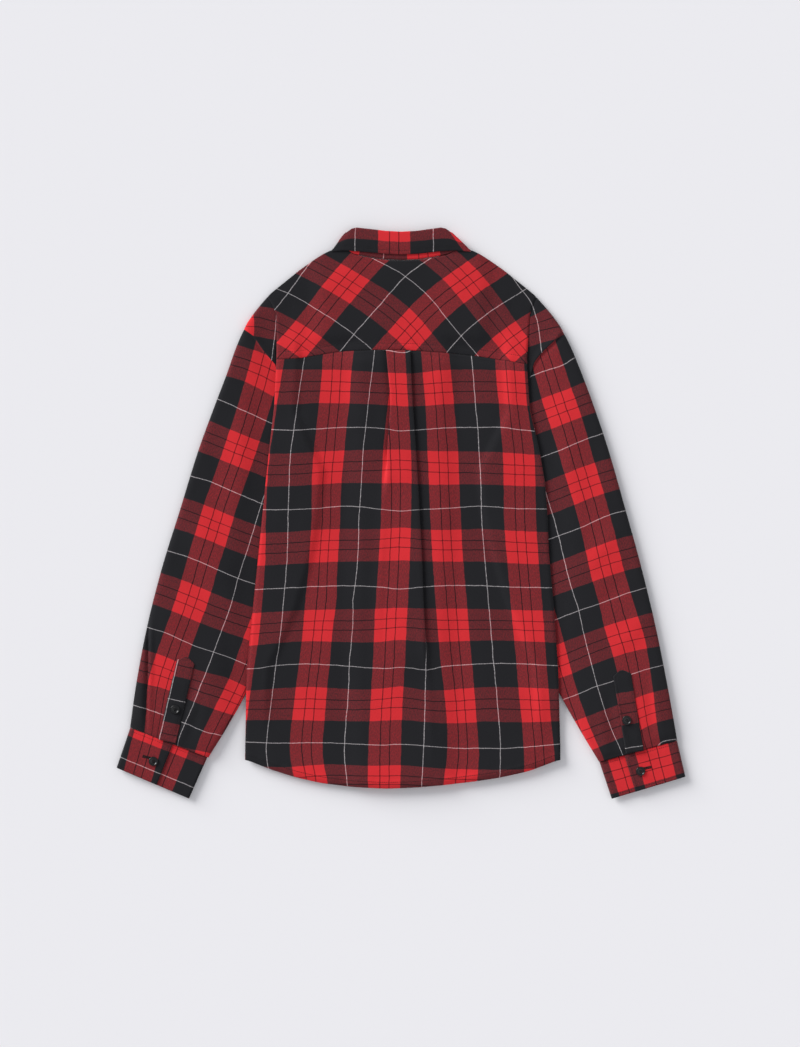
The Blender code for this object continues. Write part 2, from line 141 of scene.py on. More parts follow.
# how the layers lie on each other
lie = {
    # middle heights of the fronts, the back and a sleeve's two layers, and how full a sleeve is
    "frontRest": 0.6, "backRest": 3.0, "sleeveRest": 0.75, "sleeveTop": 3.0, "sleevePuff": 3.6,
    # how far cloth rides up over the buttons, the lapped fronts and the sleeves; one layer and its gap
    "buttonLift": 2.5, "stackLift": 3.3, "sleeveLift": 3.9, "layer": 1.5,
    # where each of these begins and ends
    "frontFade": (22, 57), "backFade": (52, 84), "collarFadeX": (106, 134),
    "collarFadeY": (230, 252), "tuckRise": 14, "tuckClear": 8, "tuckBeside": 4, "seamReach": 20,
    "tuckHemFade": (-320, -250), "yokeFade": (216, 262),
    "lap": 17,      # each front passes the middle by this much
}
# half widths of the body: y, left, right
bodySides = (
    (304, 188, 190), (293, 180.5, 185.2), (278, 174.5, 180.5), (258, 174, 179), (216, 174, 176),
    (150, 177, 180), (87, 184, 194), (42, 189, 201), (-1, 193, 204), (-65, 199, 207),
    (-149, 207, 214), (-246, 216, 220), (-360, 218, 223),
)
# the neck and shoulder outline: half width and back of the neck, its curve, then x, y down a shoulder
neckHalf, neckBackY, neckCurve = 80, 354, 0.00198
shoulderLine = ((80, 373), (100, 367), (109, 362.6), (122, 354.4), (141, 341), (167, 320),
                (176, 312.8), (188, 302.5))
neckFront = ((0, 268), (28, 275.5), (48, 291), (66, 313), (80, 332))
yokeSeam = ((-175, 216), (-146, 217), (-111, 223), (-85, 227), (-39, 229), (14, 228),
            (63, 225), (108, 220), (159, 212), (177, 209))
hemLine = ((-218, -343), (-183, -357), (-150, -367.5), (-114, -376), (-70, -381.5), (-22, -384),
           (20, -382.5), (60, -379), (100, -374.5), (137, -369), (178, -360), (223, -343))
# sleeves: outer x, outer y, inner x, inner y down the flattened tube
sleeveRows = {
    "left": (
        (205, 277, 126, 40), (229, 235, 128, 20), (244, 193, 131, -5), (260, 151, 135, -32),
        (283, 88, 143, -70), (309, 4, 160, -130), (335, -80, 183, -182), (356, -164, 214, -246),
        (371, -245, 243, -298), (378.6, -299.6, 270, -341.6),
    ),
    "right": (
        (210, 277, 126, 40), (236, 235, 128, 20), (253.4, 193, 131, -5), (269, 151, 137, -32),
        (290, 88, 148, -70), (314, 4, 166, -130), (337, -80, 189, -182), (357, -164, 219, -246),
        (374, -250, 249, -300), (386, -317.6, 277.6, -347.6),
    ),
}
# armhole seams from the shoulder down, then on under the body: x, y
armholes = {
    "left": ((187.2, 301.8), (181, 293), (175.4, 278), (174.9, 258), (174.9, 214),
             (162, 140), (124, 60)),
    "right": ((189.8, 301.4), (185.8, 293), (181.4, 278), (179.9, 258), (176.9, 214),
              (164, 140), (124, 60)),
}
signs = {"left": -1, "right": 1}


def sideX(y, side):
    return along(bodySides, y, 1 if side == "left" else 2)


def halfWidth(x, y):
    return np.where(np.asarray(x) < 0, sideX(y, "left"), sideX(y, "right"))


def tuckX(y, side):
    rows = [(row[3], row[2]) for row in sleeveRows[side]]
    rows += [(y0, x0) for x0, y0 in armholes[side][-3:]]
    return along(rows, y)


def overSleeve(x, y):
    # 1 where the body lies on the tucked side of a sleeve
    tuck = np.where(np.asarray(x) < 0, tuckX(y, "left"), tuckX(y, "right"))
    upper = np.minimum(tuck - lie["tuckClear"], halfWidth(x, y) - lie["seamReach"] - lie["tuckBeside"])
    climb = rise(np.abs(x), upper - lie["tuckRise"], upper)
    return climb * rise(y, *lie["tuckHemFade"]) * (1 - rise(y, *lie["yokeFade"]))


def underCollar(x, y):
    return (1 - rise(np.abs(x), *lie["collarFadeX"])) * rise(y, *lie["collarFadeY"])


def frontHeight(x, y):
    lift = np.maximum(1 - rise(np.abs(x), *lie["frontFade"]), underCollar(x, y))
    return lie["frontRest"] + lie["buttonLift"] * lift + lie["sleeveLift"] * overSleeve(x, y)


def backHeight(x, y):
    lift = np.maximum(1 - rise(np.abs(x), *lie["backFade"]), underCollar(x, y))
    return lie["backRest"] + lie["stackLift"] * lift + lie["sleeveLift"] * overSleeve(x, y)


def newPiece(name, mesh, finishes, cadNodes=()):
    for finish in finishes:
        mesh.materials.append(finish)
    piece = bpy.data.objects.new(name, mesh)
    bpy.context.collection.objects.link(piece)
    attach(piece, "root")
    if cadNodes:
        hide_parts(*cadNodes)
    return piece


def sewSheet(name, patches, wall, finish, cadNodes=()):
    # each patch is a dictionary of equal grids x, y, z, u, v; patches are sewn where they meet
    points, quads, cloth = [], [], []
    for patch in patches:
        grids = [np.asarray(patch[key], float) for key in "xyzuv"]
        rows, columns = grids[0].shape
        start = len(points)
        points.extend(np.stack(grids[:3], -1).reshape(-1, 3) * metre)
        maps = np.stack(grids[3:], -1).reshape(-1, 2)
        number = np.arange(rows * columns).reshape(rows, columns)
        face = np.stack((number[:-1, :-1], number[:-1, 1:], number[1:, 1:], number[1:, :-1]), -1)
        face = face.reshape(-1, 4)
        if patch.get("flip"):
            face = face[:, ::-1]
        quads.extend((face + start).tolist())
        cloth.extend(maps[face.reshape(-1)].tolist())
    mesh = bpy.data.meshes.new(name)
    mesh.from_pydata([tuple(p) for p in points], [], quads)
    layer = mesh.uv_layers.new(name="cloth")
    layer.data.foreach_set("uv", np.array(cloth, np.float32).ravel())
    body = bmesh.new()
    body.from_mesh(mesh)
    bmesh.ops.remove_doubles(body, verts=body.verts, dist=0.02 * metre)
    bmesh.ops.dissolve_degenerate(body, edges=body.edges, dist=0.005 * metre)
    body.to_mesh(mesh)
    body.free()
    mesh.shade_smooth()
    piece = newPiece(name, mesh, [finish], cadNodes)
    solid = piece.modifiers.new("Cloth wall", "SOLIDIFY")
    solid.thickness = wall * metre
    solid.offset = 0
    return piece


def clothArea(piece):
    # area of one face of the cloth, in square metres
    return sum(face.area for face in piece.data.polygons)


def arcLength(line):
    steps = np.linalg.norm(np.diff(line, axis=0), axis=1)
    return np.concatenate(([0], np.cumsum(steps)))


def resample(line, spacing):
    # points along a line every so many mm
    line = np.asarray(line, float)
    length = arcLength(line)
    count = max(2, int(round(length[-1] / spacing)) + 1)
    at = np.linspace(0, length[-1], count)
    return np.stack([np.interp(at, length, line[:, k]) for k in range(line.shape[1])], -1)


# yarn colours as they look, 0 to 1; "blend" below 1 lets dark yarns count for more where two meet
flannel = {
    "red": (0.80, 0.18, 0.20), "black": (0.135, 0.135, 0.145), "pale": (0.74, 0.71, 0.71),
    "darkLine": (0.17, 0.05, 0.065), "warpShare": 0.57, "fleck": 0.12, "nap": 0.05, "blend": 0.6,
    "ribs": 74, "ribShare": 0.10, "fleckScale": 78.0, "napScale": 150.0, "slowScale": 2.3,
    "wander": 0.018, "wanderScale": 7.0, "rough": 0.9, "shine": 0.12, "sheen": 0.12,
    "sheenRough": 0.5, "bump": 0.35, "bumpDistance": 0.0005,
}
# places in shares of one repeat: the red band at its middle, two dark lines in it, the pale line at 0
check = {
    "repeat": 110, "bandHalf": 0.205, "darkAt": 0.0585, "darkHalf": 0.0052, "paleHalf": 0.0046,
    "soft": 0.0035,
}


def newGroup(name, inputs, outputs):
    group = bpy.data.node_groups.new(name, "ShaderNodeTree")
    for label, kind, value in inputs:
        socket = group.interface.new_socket(label, in_out="INPUT", socket_type=kind)
        if value is not None:
            socket.default_value = value
    for label, kind in outputs:
        group.interface.new_socket(label, in_out="OUTPUT", socket_type=kind)
    tree = Tree(group.nodes, group.links)
    return group, tree, tree.add("NodeGroupInput"), tree.add("NodeGroupOutput")


class Tree:
    # short ways to add nodes and join them

    def __init__(self, nodes, links):
        self.nodes, self.links = nodes, links

    def add(self, kind, **settings):
        node = self.nodes.new(kind)
        for key, value in settings.items():
            setattr(node, key, value)
        return node

    def put(self, socket, value):
        if isinstance(value, bpy.types.NodeSocket):
            self.links.new(value, socket)
        else:
            socket.default_value = value

    def sum(self, operation, *values, clamp=False):
        node = self.add("ShaderNodeMath", operation=operation, use_clamp=clamp)
        for socket, value in zip(node.inputs, values):
            self.put(socket, value)
        return node.outputs[0]

    def vector(self, operation, first, second, scale=None):
        node = self.add("ShaderNodeVectorMath", operation=operation)
        self.put(node.inputs[0], first)
        if second is not None:
            self.put(node.inputs[1], second)
        if scale is not None:
            self.put(node.inputs["Scale"], scale)
        return node.outputs[0]

    def mix(self, share, first, second):
        node = self.add("ShaderNodeMix", data_type="RGBA")
        self.put(node.inputs["Factor"], share)
        self.put(node.inputs["A"], first)
        self.put(node.inputs["B"], second)
        return node.outputs["Result"]

    def inside(self, distance, reach, soft):
        # 1 where distance is below reach, with a soft edge
        node = self.add("ShaderNodeMapRange", interpolation_type="SMOOTHSTEP")
        for label, value in zip(("Value", "From Min", "From Max", "To Min", "To Max"),
                                (distance, reach + soft, reach - soft, 0.0, 1.0)):
            self.put(node.inputs[label], value)
        return node.outputs["Result"]

    def noise(self, vector, scale, detail=2.0, roughness=0.5):
        node = self.add("ShaderNodeTexNoise")
        for label, value in (("Vector", vector), ("Scale", scale), ("Detail", detail),
                             ("Roughness", roughness)):
            self.put(node.inputs[label], value)
        return node.outputs["Fac"]


def makeStripeGroup():
    # colour of a yarn from its place in the repeat
    colours = [(label, "NodeSocketColor", None) for label in ("Red", "Black", "Pale", "Dark Line")]
    group, tree, given, out = newGroup(
        "flannelStripe", [("Place", "NodeSocketFloat", 0.0), *colours],
        [("Color", "NodeSocketColor"), ("Pale Mask", "NodeSocketFloat")])
    part = tree.sum("FRACT", given.outputs["Place"])
    offset = tree.sum("ABSOLUTE", tree.sum("SUBTRACT", part, 0.5))
    band = tree.inside(offset, check["bandHalf"], check["soft"])
    line = tree.sum("ABSOLUTE", tree.sum("SUBTRACT", offset, check["darkAt"]))
    dark = tree.inside(line, check["darkHalf"], check["soft"])
    pale = tree.inside(tree.sum("SUBTRACT", 0.5, offset), check["paleHalf"], check["soft"])
    colour = tree.mix(band, given.outputs["Black"], given.outputs["Red"])
    colour = tree.mix(dark, colour, given.outputs["Dark Line"])
    colour = tree.mix(pale, colour, given.outputs["Pale"])
    tree.put(out.inputs["Color"], colour)
    tree.put(out.inputs["Pale Mask"], pale)
    return group


def makeCheckGroup():
    # warp and weft stripes woven together in a brushed twill
    colours = [(label, "NodeSocketColor", None) for label in ("Red", "Black", "Pale", "Dark Line")]
    numbers = [("Warp Share", "NodeSocketFloat", 0.5), ("Fleck", "NodeSocketFloat", 0.2),
               ("Nap", "NodeSocketFloat", 0.1)]
    group, tree, given, out = newGroup(
        "flannelCheck", [("Cloth", "NodeSocketVector", None), *colours, *numbers],
        [("Color", "NodeSocketColor"), ("Height", "NodeSocketFloat"), ("Rough", "NodeSocketFloat")])
    cloth = given.outputs["Cloth"]
    drift = tree.sum("SUBTRACT", tree.noise(cloth, flannel["wanderScale"], 3.0), 0.5)
    wander = tree.sum("MULTIPLY", drift, flannel["wander"])
    split = tree.add("ShaderNodeSeparateXYZ")
    tree.put(split.inputs[0], cloth)
    across = tree.sum("ADD", split.outputs[0], wander)
    down = tree.sum("SUBTRACT", split.outputs[1], wander)
    stripe = makeStripeGroup()
    yarns = []
    for place in (across, down):
        node = tree.add("ShaderNodeGroup", node_tree=stripe)
        tree.put(node.inputs["Place"], place)
        for label, _, _ in colours:
            tree.put(node.inputs[label], given.outputs[label])
        yarns.append(node)
    # twill: fine diagonal ribs, and coarser flecks that lean the same way
    diagonal = tree.sum("ADD", across, down)
    rib = tree.sum("SINE", tree.sum("MULTIPLY", diagonal, 2 * math.pi * flannel["ribs"]))
    lean = tree.add("ShaderNodeMapping")
    tree.put(lean.inputs["Vector"], cloth)
    lean.inputs["Rotation"].default_value = (0, 0, math.radians(-45))
    lean.inputs["Scale"].default_value = (1.0, 0.45, 1.0)
    fleck = tree.sum("SUBTRACT", tree.noise(lean.outputs[0], flannel["fleckScale"], 2.0, 0.75), 0.5)
    share = tree.sum("MULTIPLY_ADD", rib, flannel["ribShare"], given.outputs["Warp Share"])
    share = tree.sum("MULTIPLY_ADD", tree.sum("MULTIPLY", fleck, 6.0), given.outputs["Fleck"], share,
                     clamp=True)
    woven = tree.mix(share, yarns[1].outputs["Color"], yarns[0].outputs["Color"])
    # the pale yarns are thick and lie on top
    pale = tree.sum("MAXIMUM", yarns[0].outputs["Pale Mask"], yarns[1].outputs["Pale Mask"])
    beads = tree.sum("MULTIPLY_ADD", fleck, 2.4, 0.62, clamp=True)
    woven = tree.mix(tree.sum("MULTIPLY", pale, beads), woven, given.outputs["Pale"])
    # brushed nap: slow and fine changes of tone
    fuzz = tree.sum("SUBTRACT", tree.noise(cloth, flannel["napScale"], 2.0, 0.6), 0.5)
    slow = tree.sum("SUBTRACT", tree.noise(cloth, flannel["slowScale"], 2.0), 0.5)
    tone = tree.sum("MULTIPLY_ADD", tree.sum("ADD", tree.sum("MULTIPLY", fuzz, 2.0), slow),
                    given.outputs["Nap"], 1.0)
    gamma = tree.add("ShaderNodeGamma")
    tree.put(gamma.inputs["Color"], tree.vector("SCALE", woven, None, tone))
    gamma.inputs["Gamma"].default_value = 2.2 / flannel["blend"]
    tree.put(out.inputs["Color"], gamma.outputs[0])
    height = tree.sum("MULTIPLY_ADD", fuzz, 1.4, tree.sum("MULTIPLY", rib, 0.22))
    height = tree.sum("MULTIPLY_ADD", fleck, 1.2, height)
    tree.put(out.inputs["Height"], tree.sum("MULTIPLY_ADD", pale, 0.35, height))
    tree.put(out.inputs["Rough"], tree.sum("MULTIPLY_ADD", fuzz, 0.12, flannel["rough"], clamp=True))
    return group


def newMaterial(name):
    made = bpy.data.materials.new(name)
    made.use_nodes = True
    shader = made.node_tree.nodes["Principled BSDF"]
    return made, Tree(made.node_tree.nodes, made.node_tree.links), shader


def colour4(colour):
    return (*colour, 1.0)


def addBump(tree, shader, height, strength, distance):
    bump = tree.add("ShaderNodeBump")
    tree.put(bump.inputs["Height"], height)
    bump.inputs["Strength"].default_value = strength
    bump.inputs["Distance"].default_value = distance
    tree.put(shader.inputs["Normal"], bump.outputs[0])


def makeFlannel():
    made, tree, shader = newMaterial("brushedFlannel")
    uv = tree.add("ShaderNodeUVMap", uv_map="cloth")
    woven = tree.add("ShaderNodeGroup", node_tree=makeCheckGroup())
    tree.put(woven.inputs["Cloth"], uv.outputs[0])
    for label, key in (("Red", "red"), ("Black", "black"), ("Pale", "pale"), ("Dark Line", "darkLine")):
        woven.inputs[label].default_value = colour4([c ** flannel["blend"] for c in flannel[key]])
    for label, key in (("Warp Share", "warpShare"), ("Fleck", "fleck"), ("Nap", "nap")):
        woven.inputs[label].default_value = flannel[key]
    tree.put(shader.inputs["Base Color"], woven.outputs["Color"])
    tree.put(shader.inputs["Roughness"], woven.outputs["Rough"])
    shader.inputs["Specular IOR Level"].default_value = flannel["shine"]
    shader.inputs["Sheen Weight"].default_value = flannel["sheen"]
    shader.inputs["Sheen Roughness"].default_value = flannel["sheenRough"]
    addBump(tree, shader, woven.outputs["Height"], flannel["bump"], flannel["bumpDistance"])
    return made


def makeGrainGroup():
    # fine cloudy tone and roughness for moulded resin and twisted thread
    group, tree, given, out = newGroup(
        "fineGrain", [("Scale", "NodeSocketFloat", 400.0), ("Low", "NodeSocketColor", None),
                      ("High", "NodeSocketColor", None), ("Rough", "NodeSocketFloat", 0.3)],
        [("Color", "NodeSocketColor"), ("Roughness", "NodeSocketFloat"), ("Height", "NodeSocketFloat")])
    place = tree.add("ShaderNodeTexCoord")
    cloud = tree.noise(place.outputs["Object"], given.outputs["Scale"], 4.0, 0.6)
    tree.put(out.inputs["Color"], tree.mix(cloud, given.outputs["Low"], given.outputs["High"]))
    tree.put(out.inputs["Roughness"],
             tree.sum("MULTIPLY_ADD", tree.sum("SUBTRACT", cloud, 0.5), 0.25, given.outputs["Rough"]))
    tree.put(out.inputs["Height"], cloud)
    return group


# finishes with a fine grain: darkest and lightest colour, and how far the bump goes in metres
finishes = {
    "blackResin": {"low": (0.002, 0.002, 0.0024), "high": (0.005, 0.005, 0.006), "scale": 500.0,
                   "rough": 0.13, "shine": 0.42, "bump": 0.3, "bumpDistance": 0.00002},
    "sewingThread": {"low": (0.005, 0.005, 0.006), "high": (0.014, 0.013, 0.014), "scale": 2500.0,
                     "rough": 0.7, "shine": 0.2, "bump": 0.3, "bumpDistance": 0.0001},
}


def makeGrained(name, grain):
    finish = finishes[name]
    made, tree, shader = newMaterial(name)
    node = tree.add("ShaderNodeGroup", node_tree=grain)
    node.inputs["Scale"].default_value = finish["scale"]
    node.inputs["Low"].default_value = colour4(finish["low"])
    node.inputs["High"].default_value = colour4(finish["high"])
    node.inputs["Rough"].default_value = finish["rough"]
    tree.put(shader.inputs["Base Color"], node.outputs["Color"])
    tree.put(shader.inputs["Roughness"], node.outputs["Roughness"])
    shader.inputs["Specular IOR Level"].default_value = finish["shine"]
    addBump(tree, shader, node.outputs["Height"], finish["bump"], finish["bumpDistance"])
    return made


cloth = makeFlannel()
grain = makeGrainGroup()
resin, thread = makeGrained("blackResin", grain), makeGrained("sewingThread", grain)
print("finishes made")

back = {
    "wall": 1.0, "rows": 186, "top": 219, "foot": -379,
    "edgeRoll": 5.0, "edgeDrop": 1.7, "uneven": 0.45, "loft": 1.6,      # side edges and waves
    "pleatStep": 4.0, "pleatPress": 1.7, "pleatTurn": 0.75,             # height and radius of the folds
    "hemHigh": 0.9, "hemWide": 9.0, "hemUnder": 8.0, "hemLift": 1.8, "hemTurn": 0.6,
}
# box pleat: y, then x and depth of the left fold and of the right; below zero it has opened
pleatRows = (
    (230, -21, 14, 11, 15), (196, -17.5, 13, 13, 15), (150, -13, 11, 15, 15),
    (100, -17, 6, 18.5, 14), (50, -19, -3, 22, 13.5), (12, -20, -8, 24, 13),
    (-60, -22, -8, 28, 11), (-130, -24, -8, 30.5, 7), (-190, -26, -8, 34.5, -3),
    (-240, -28, -8, 37, -8), (-390, -30, -8, 42, -8),
)
# soft creases: from, to, half width and height
backFolds = (
    ((-20, 60), (-34, -160), 9, 1.1), ((-30, 10), (-48, -260), 16, -0.8),
    ((31, -120), (44, -350), 8, 1.3), ((26, 120), (40, -240), 12, -0.9),
    ((-120, 205), (-150, 40), 26, 1.0), ((110, 205), (150, 20), 28, 1.2),
    ((150, 60), (180, -120), 14, -0.9), ((-150, 20), (-176, -170), 15, -0.8),
    ((90, -40), (126, -300), 24, 0.9), ((-90, -60), (-120, -330), 24, 0.8),
    ((176, -150), (196, -330), 12, 0.8), ((-60, 215), (-52, 120), 13, 0.8),
    ((58, 215), (50, 130), 13, 0.7),
)
# where the check lies: (y, x at each place across the repeat)
backAcrossLeft = crossings((
    (226, -134, -109, -66, -37, None), (153, -145, -115, -72, -46, None),
    (87, -154, -122, -79, -53, None), (-9, -158, -125, -85, -59, -28),
    (-121, -164, -134, -90, -67, -35), (-205, -174, -142, -99, -72, -39),
    (-292, -185, -153, -107, -77, -44), (-341, -188, -155, -109, -79, -46),
    (-380, -180, -147, -102, -75, -46),
), (0, 0.295, 0.705, 1, 1.295))
backAcrossLeft += crossings(((118, -178), (38, -187), (-71, -190), (-182, -200)), (-0.295,))
backAcrossBox = crossings((
    (226, -38, 6, None), (153, -34, 10, None), (87, -31, 14, None), (-9, -29, 14, None),
    (-121, -35, 10, None), (-205, -39, 6, 35), (-292, -44, 1, 33), (-341, -46, 0, 31),
    (-380, -46, -1, 29),
), (1.295, 1.705, 2))
backAcrossRight = crossings((
    (226, None, 28, 67, 98, 131, 171), (153, None, 34, 74, 104, 137, 176),
    (87, None, 37, 80, 109, 142, 186), (-9, None, 41, 84, 113, 144, 189),
    (-121, None, 48, 92, 122, 153, 197), (-205, None, 55, 99, 129, 161, 203),
    (-292, 33, 64, 106, 137, 169, 210), (-341, 31, 64, 109, 139, 172, 215),
    (-380, 29, 59, 106, 137, 172, 216),
), (2, 2.295, 2.705, 3, 3.295, 3.705))
backDown = threads((
    (5, (-110, 236), (-60, 232.5), (-39, 229.5), (-20, 227.5), (9, 225), (22, 232), (60, 237),
     (110, 236)),
    (4.705, (-120, 201), (-6, 196), (100, 201)),
    (4.295, (-120, 154), (-6, 150), (100, 154)),
    (4, (-179, 117), (-150, 116), (-117, 118), (-77, 120), (-49, 120), (-22, 118), (-2, 115),
     (18, 116), (78, 120), (107, 120), (141, 120), (164, 117), (184, 115)),
    (3.705, (-120, 86), (0, 89), (120, 86)), (3.295, (-120, 40), (0, 42.5), (120, 40)),
    (2.705, (-120, -23), (0, -20), (120, -22)), (2.295, (-120, -69), (0, -66), (120, -68)),
    (1.705, (-120, -135), (0, -132), (120, -134)), (1.295, (-120, -179), (0, -177), (120, -178)),
    (0.705, (-120, -243), (0, -242), (120, -243)), (0.295, (-120, -290), (0, -289), (120, -291)),
    (3, (-191, 5), (-157, 5), (-114, 7), (-81, 10), (-58, 9), (-24, 5), (-1, 3), (26, 5),
     (67, 7), (112, 10), (152, 7), (203, 6)),
    (2, (-150, -104), (0, -106), (150, -103)),
    (1, (-204, -217), (-174, -213), (-144, -211), (-100, -212), (-71, -214), (-20, -217),
     (35, -219), (55, -215), (89, -212), (130, -210), (179, -211), (217, -213)),
    (0, (-217, -320), (-136, -321), (-78, -322), (-27, -324), (31, -325), (89, -329),
     (140, -329), (175, -327), (222, -323)),
    (-0.295, (-160, -355), (-100, -351), (0, -352), (100, -358), (160, -358)),
))


def yokeSeamY(x):
    return softAlong(yokeSeam, x)


def hemY(x):
    return softAlong(hemLine, x)


def sideRoll(x, y, reach, drop):
    # how far cloth curls down at the body's side edges
    inside = np.clip(halfWidth(x, y) - np.abs(x), 0, reach)
    return drop * (1 - np.sqrt(np.clip(1 - ((reach - inside) / reach) ** 2, 0, 1)))


def backRelief(x, y):
    # soft shape of the back on top of its height; none where other pieces meet it
    fade = rise(yokeSeamY(x) - y, 0, 18) * rise(y - hemY(x), 0, 6)
    shape = softFolds(backFolds, x, y) + back["uneven"] * (1 + lieUneven(x, y, 11))
    shape = shape + back["loft"] * rise(halfWidth(x, y) - np.abs(x), 0, 40)
    hem = back["hemHigh"] * (1 - rise(y - hemY(x), back["hemWide"] - 1.5, back["hemWide"] + 1.5))
    hem = hem + back["hemLift"] * (1 - rise(y - hemY(x), 0, 60))
    pull = 0.35 * np.exp(-((yokeSeamY(x) - y - 3) / 4) ** 2)
    ripple = 0.25 * np.sin(x / 2.6) * np.exp(-((y - hemY(x) - back["hemWide"]) / 4) ** 2)
    return shape * fade + hem + ripple - pull


def pleatFold(x, depth, direction):
    # one fold of the box pleat from the cloth beside it to the box panel, as (x, share of the step)
    folded, step = rise(depth, -3, 3), rise(depth, -8, -3)
    inner = x + direction * depth
    turn = back["pleatTurn"]
    path = [(inner + direction * turn * math.cos(a), 0.25 - 0.25 * math.sin(a))
            for a in np.radians((90, 45, 0, -45, -90))]
    path += [(inner + (x - inner) * part, 0.5) for part in (0.33, 0.67)]
    path += [(x - direction * turn * math.cos(a), 0.75 - 0.25 * math.sin(a))
             for a in np.radians((90, 60, 30, 0, -30, -60, -90))]
    low = x + direction * min(depth, 0)
    ramp = [(low + (x - low) * part, part) for part in np.linspace(0, 1, len(path))]
    return [((1 - folded) * r[0] + folded * p[0], step * ((1 - folded) * r[1] + folded * p[1]))
            for r, p in zip(ramp, path)]


def backRow(part):
    # one row of the back, part of the way from the yoke seam to the hem
    level = back["top"] + (back["foot"] - back["top"]) * part
    fold = [float(softAlong(pleatRows, level, column)) for column in range(1, 5)]
    left = pleatFold(fold[0], fold[1], 1)
    right = pleatFold(fold[2], fold[3], -1)[::-1]
    lefts, rights = left[0][0], right[-1][0]
    columns = []
    for side, sign, stop in (("left", -1, lefts), ("right", 1, rights)):
        edge = float(sideX(level, side)) * sign
        inner = np.linspace(edge - sign * 6, stop, 62)
        roll = edge - sign * np.array((0, 0.35, 1.0, 2.0, 3.2, 4.5))
        columns.append(np.concatenate((roll, inner)))
    box = np.linspace(left[-1][0], right[0][0], 13)[1:-1]
    x = np.concatenate((columns[0][:-1], [p[0] for p in left], box, [p[0] for p in right],
                        columns[1][:-1][::-1]))
    middle = np.linspace(left[-1][1], right[0][1], 13)[1:-1]
    step = np.concatenate((np.zeros(len(columns[0]) - 1), [p[1] for p in left], middle,
                           [p[1] for p in right], np.zeros(len(columns[1]) - 1)))
    zone = np.concatenate((np.zeros(len(columns[0]) - 1), np.full(len(left), 1), np.full(len(box), 2),
                           np.full(len(right), 3), np.full(len(columns[1]) - 1, 4)))
    y = yokeSeamY(x) - 0.5 + (hemY(x) - yokeSeamY(x) + 0.5) * part
    return x, y, step, zone


def buildBack():
    acrossLeft, acrossBox = through(backAcrossLeft), through(backAcrossBox)
    acrossRight, down = through(backAcrossRight), through(backDown)
    rows = [backRow(part) for part in np.linspace(0, 1, back["rows"])]
    x, y, step, zone = (np.array([row[i] for row in rows]) for i in range(4))
    z = backHeight(x, y) + back["pleatStep"] * step + backRelief(x, y)
    z = z - sideRoll(x, y, back["edgeRoll"], back["edgeDrop"])
    # the cloth beside each fold is pressed down
    for number, column in ((0, 1), (4, 3)):
        fold = softAlong(pleatRows, y, column)
        depth = softAlong(pleatRows, y, column + 1)
        near = np.exp(-((x - fold) / 5) ** 2) * rise(depth, -3, 4)
        z = z - back["pleatPress"] * near * (zone == number)
    u = np.select([zone == 0, zone == 4], [acrossLeft(x, y), acrossRight(x, y)], acrossBox(x, y))
    for number, outer in ((1, acrossLeft), (3, acrossRight)):
        # under a fold the check runs evenly from one visible part to the next
        columns = np.where(zone[0] == number)[0]
        first, last = columns[0], columns[-1]
        ends = (outer, acrossBox) if number == 1 else (acrossBox, outer)
        start = ends[0](x[:, first], y[:, first])
        stop = ends[1](x[:, last], y[:, last])
        share = (columns - first) / (last - first)
        u[:, columns] = start[:, None] + (stop - start)[:, None] * share
    v = down(x, y)
    # the hem turns under along the last row
    radius = back["hemTurn"]
    turns = [(x[-1], y[-1], z[-1], u[-1], v[-1])]
    for degrees in (50, 0, -60):
        a = math.radians(degrees)
        turns.append((x[-1], y[-1] - radius * math.cos(a), z[-1] - radius + radius * math.sin(a),
                      u[-1], v[-1] - 0.01))
    for reach in (0.35, 1):
        turns.append((x[-1], y[-1] + reach * back["hemUnder"], z[-1] - 2 * radius,
                      u[-1], v[-1] - 0.01 - 0.07 * reach))
    under = {key: np.array([turn[i] for turn in turns]) for i, key in enumerate("xyzuv")}
    return sewSheet("backPanel", [dict(x=x, y=y, z=z, u=u, v=v), under], back["wall"], cloth, ["back"])


backPanel = buildBack()
print("back panel sewn")

yoke = {"wall": 1.0, "lip": 0.55, "stitchIn": 9.5, "flapDepth": 36, "uneven": 0.35}
# threads of the check, which lies on the bias here: place in the repeat, then points on it
yokeAcross = threads((
    (0, (-132, 344), (-158, 308), (-175, 287)),
    (0.5, (-77, 322), (-141, 243)),
    (1, (42, 357), (6, 331), (-22, 300), (-66, 250), (-85, 227)),
    (1.5, (92, 324), (14, 255)),
    (2, (175, 314), (135, 289), (98, 261), (84, 248), (63, 224)),
    (2.5, (157, 240),),
))
yokeDown = threads((
    (-1, (158, 327), (170, 311), (182, 295), (186, 284)),
    (-0.5, (92, 324), (157, 240)),
    (0, (-37, 355), (-1, 336), (6, 331), (31, 311), (64, 272), (84, 248), (108, 220)),
    (0.5, (-77, 322), (14, 255)),
    (1, (-173, 314), (-158, 308), (-113, 282), (-66, 250), (-41, 229)),
    (1.5, (-141, 243),),
))
yokeFolds = (
    ((-60, 350), (-120, 300), 16, 0.7), ((60, 350), (120, 300), 16, 0.8),
    ((-150, 300), (-170, 235), 10, -0.6), ((150, 300), (172, 235), 10, -0.6),
    ((-30, 340), (-10, 250), 20, 0.5),
)


def shoulderY(x):
    flat = neckBackY + neckCurve * np.asarray(x) ** 2
    step = shoulderLine[0][1] - neckBackY - neckCurve * neckHalf ** 2
    flat = flat + step * rise(np.abs(x), neckHalf - 14, neckHalf)
    return np.where(np.abs(x) < neckHalf, flat, softAlong(shoulderLine, np.abs(x)))


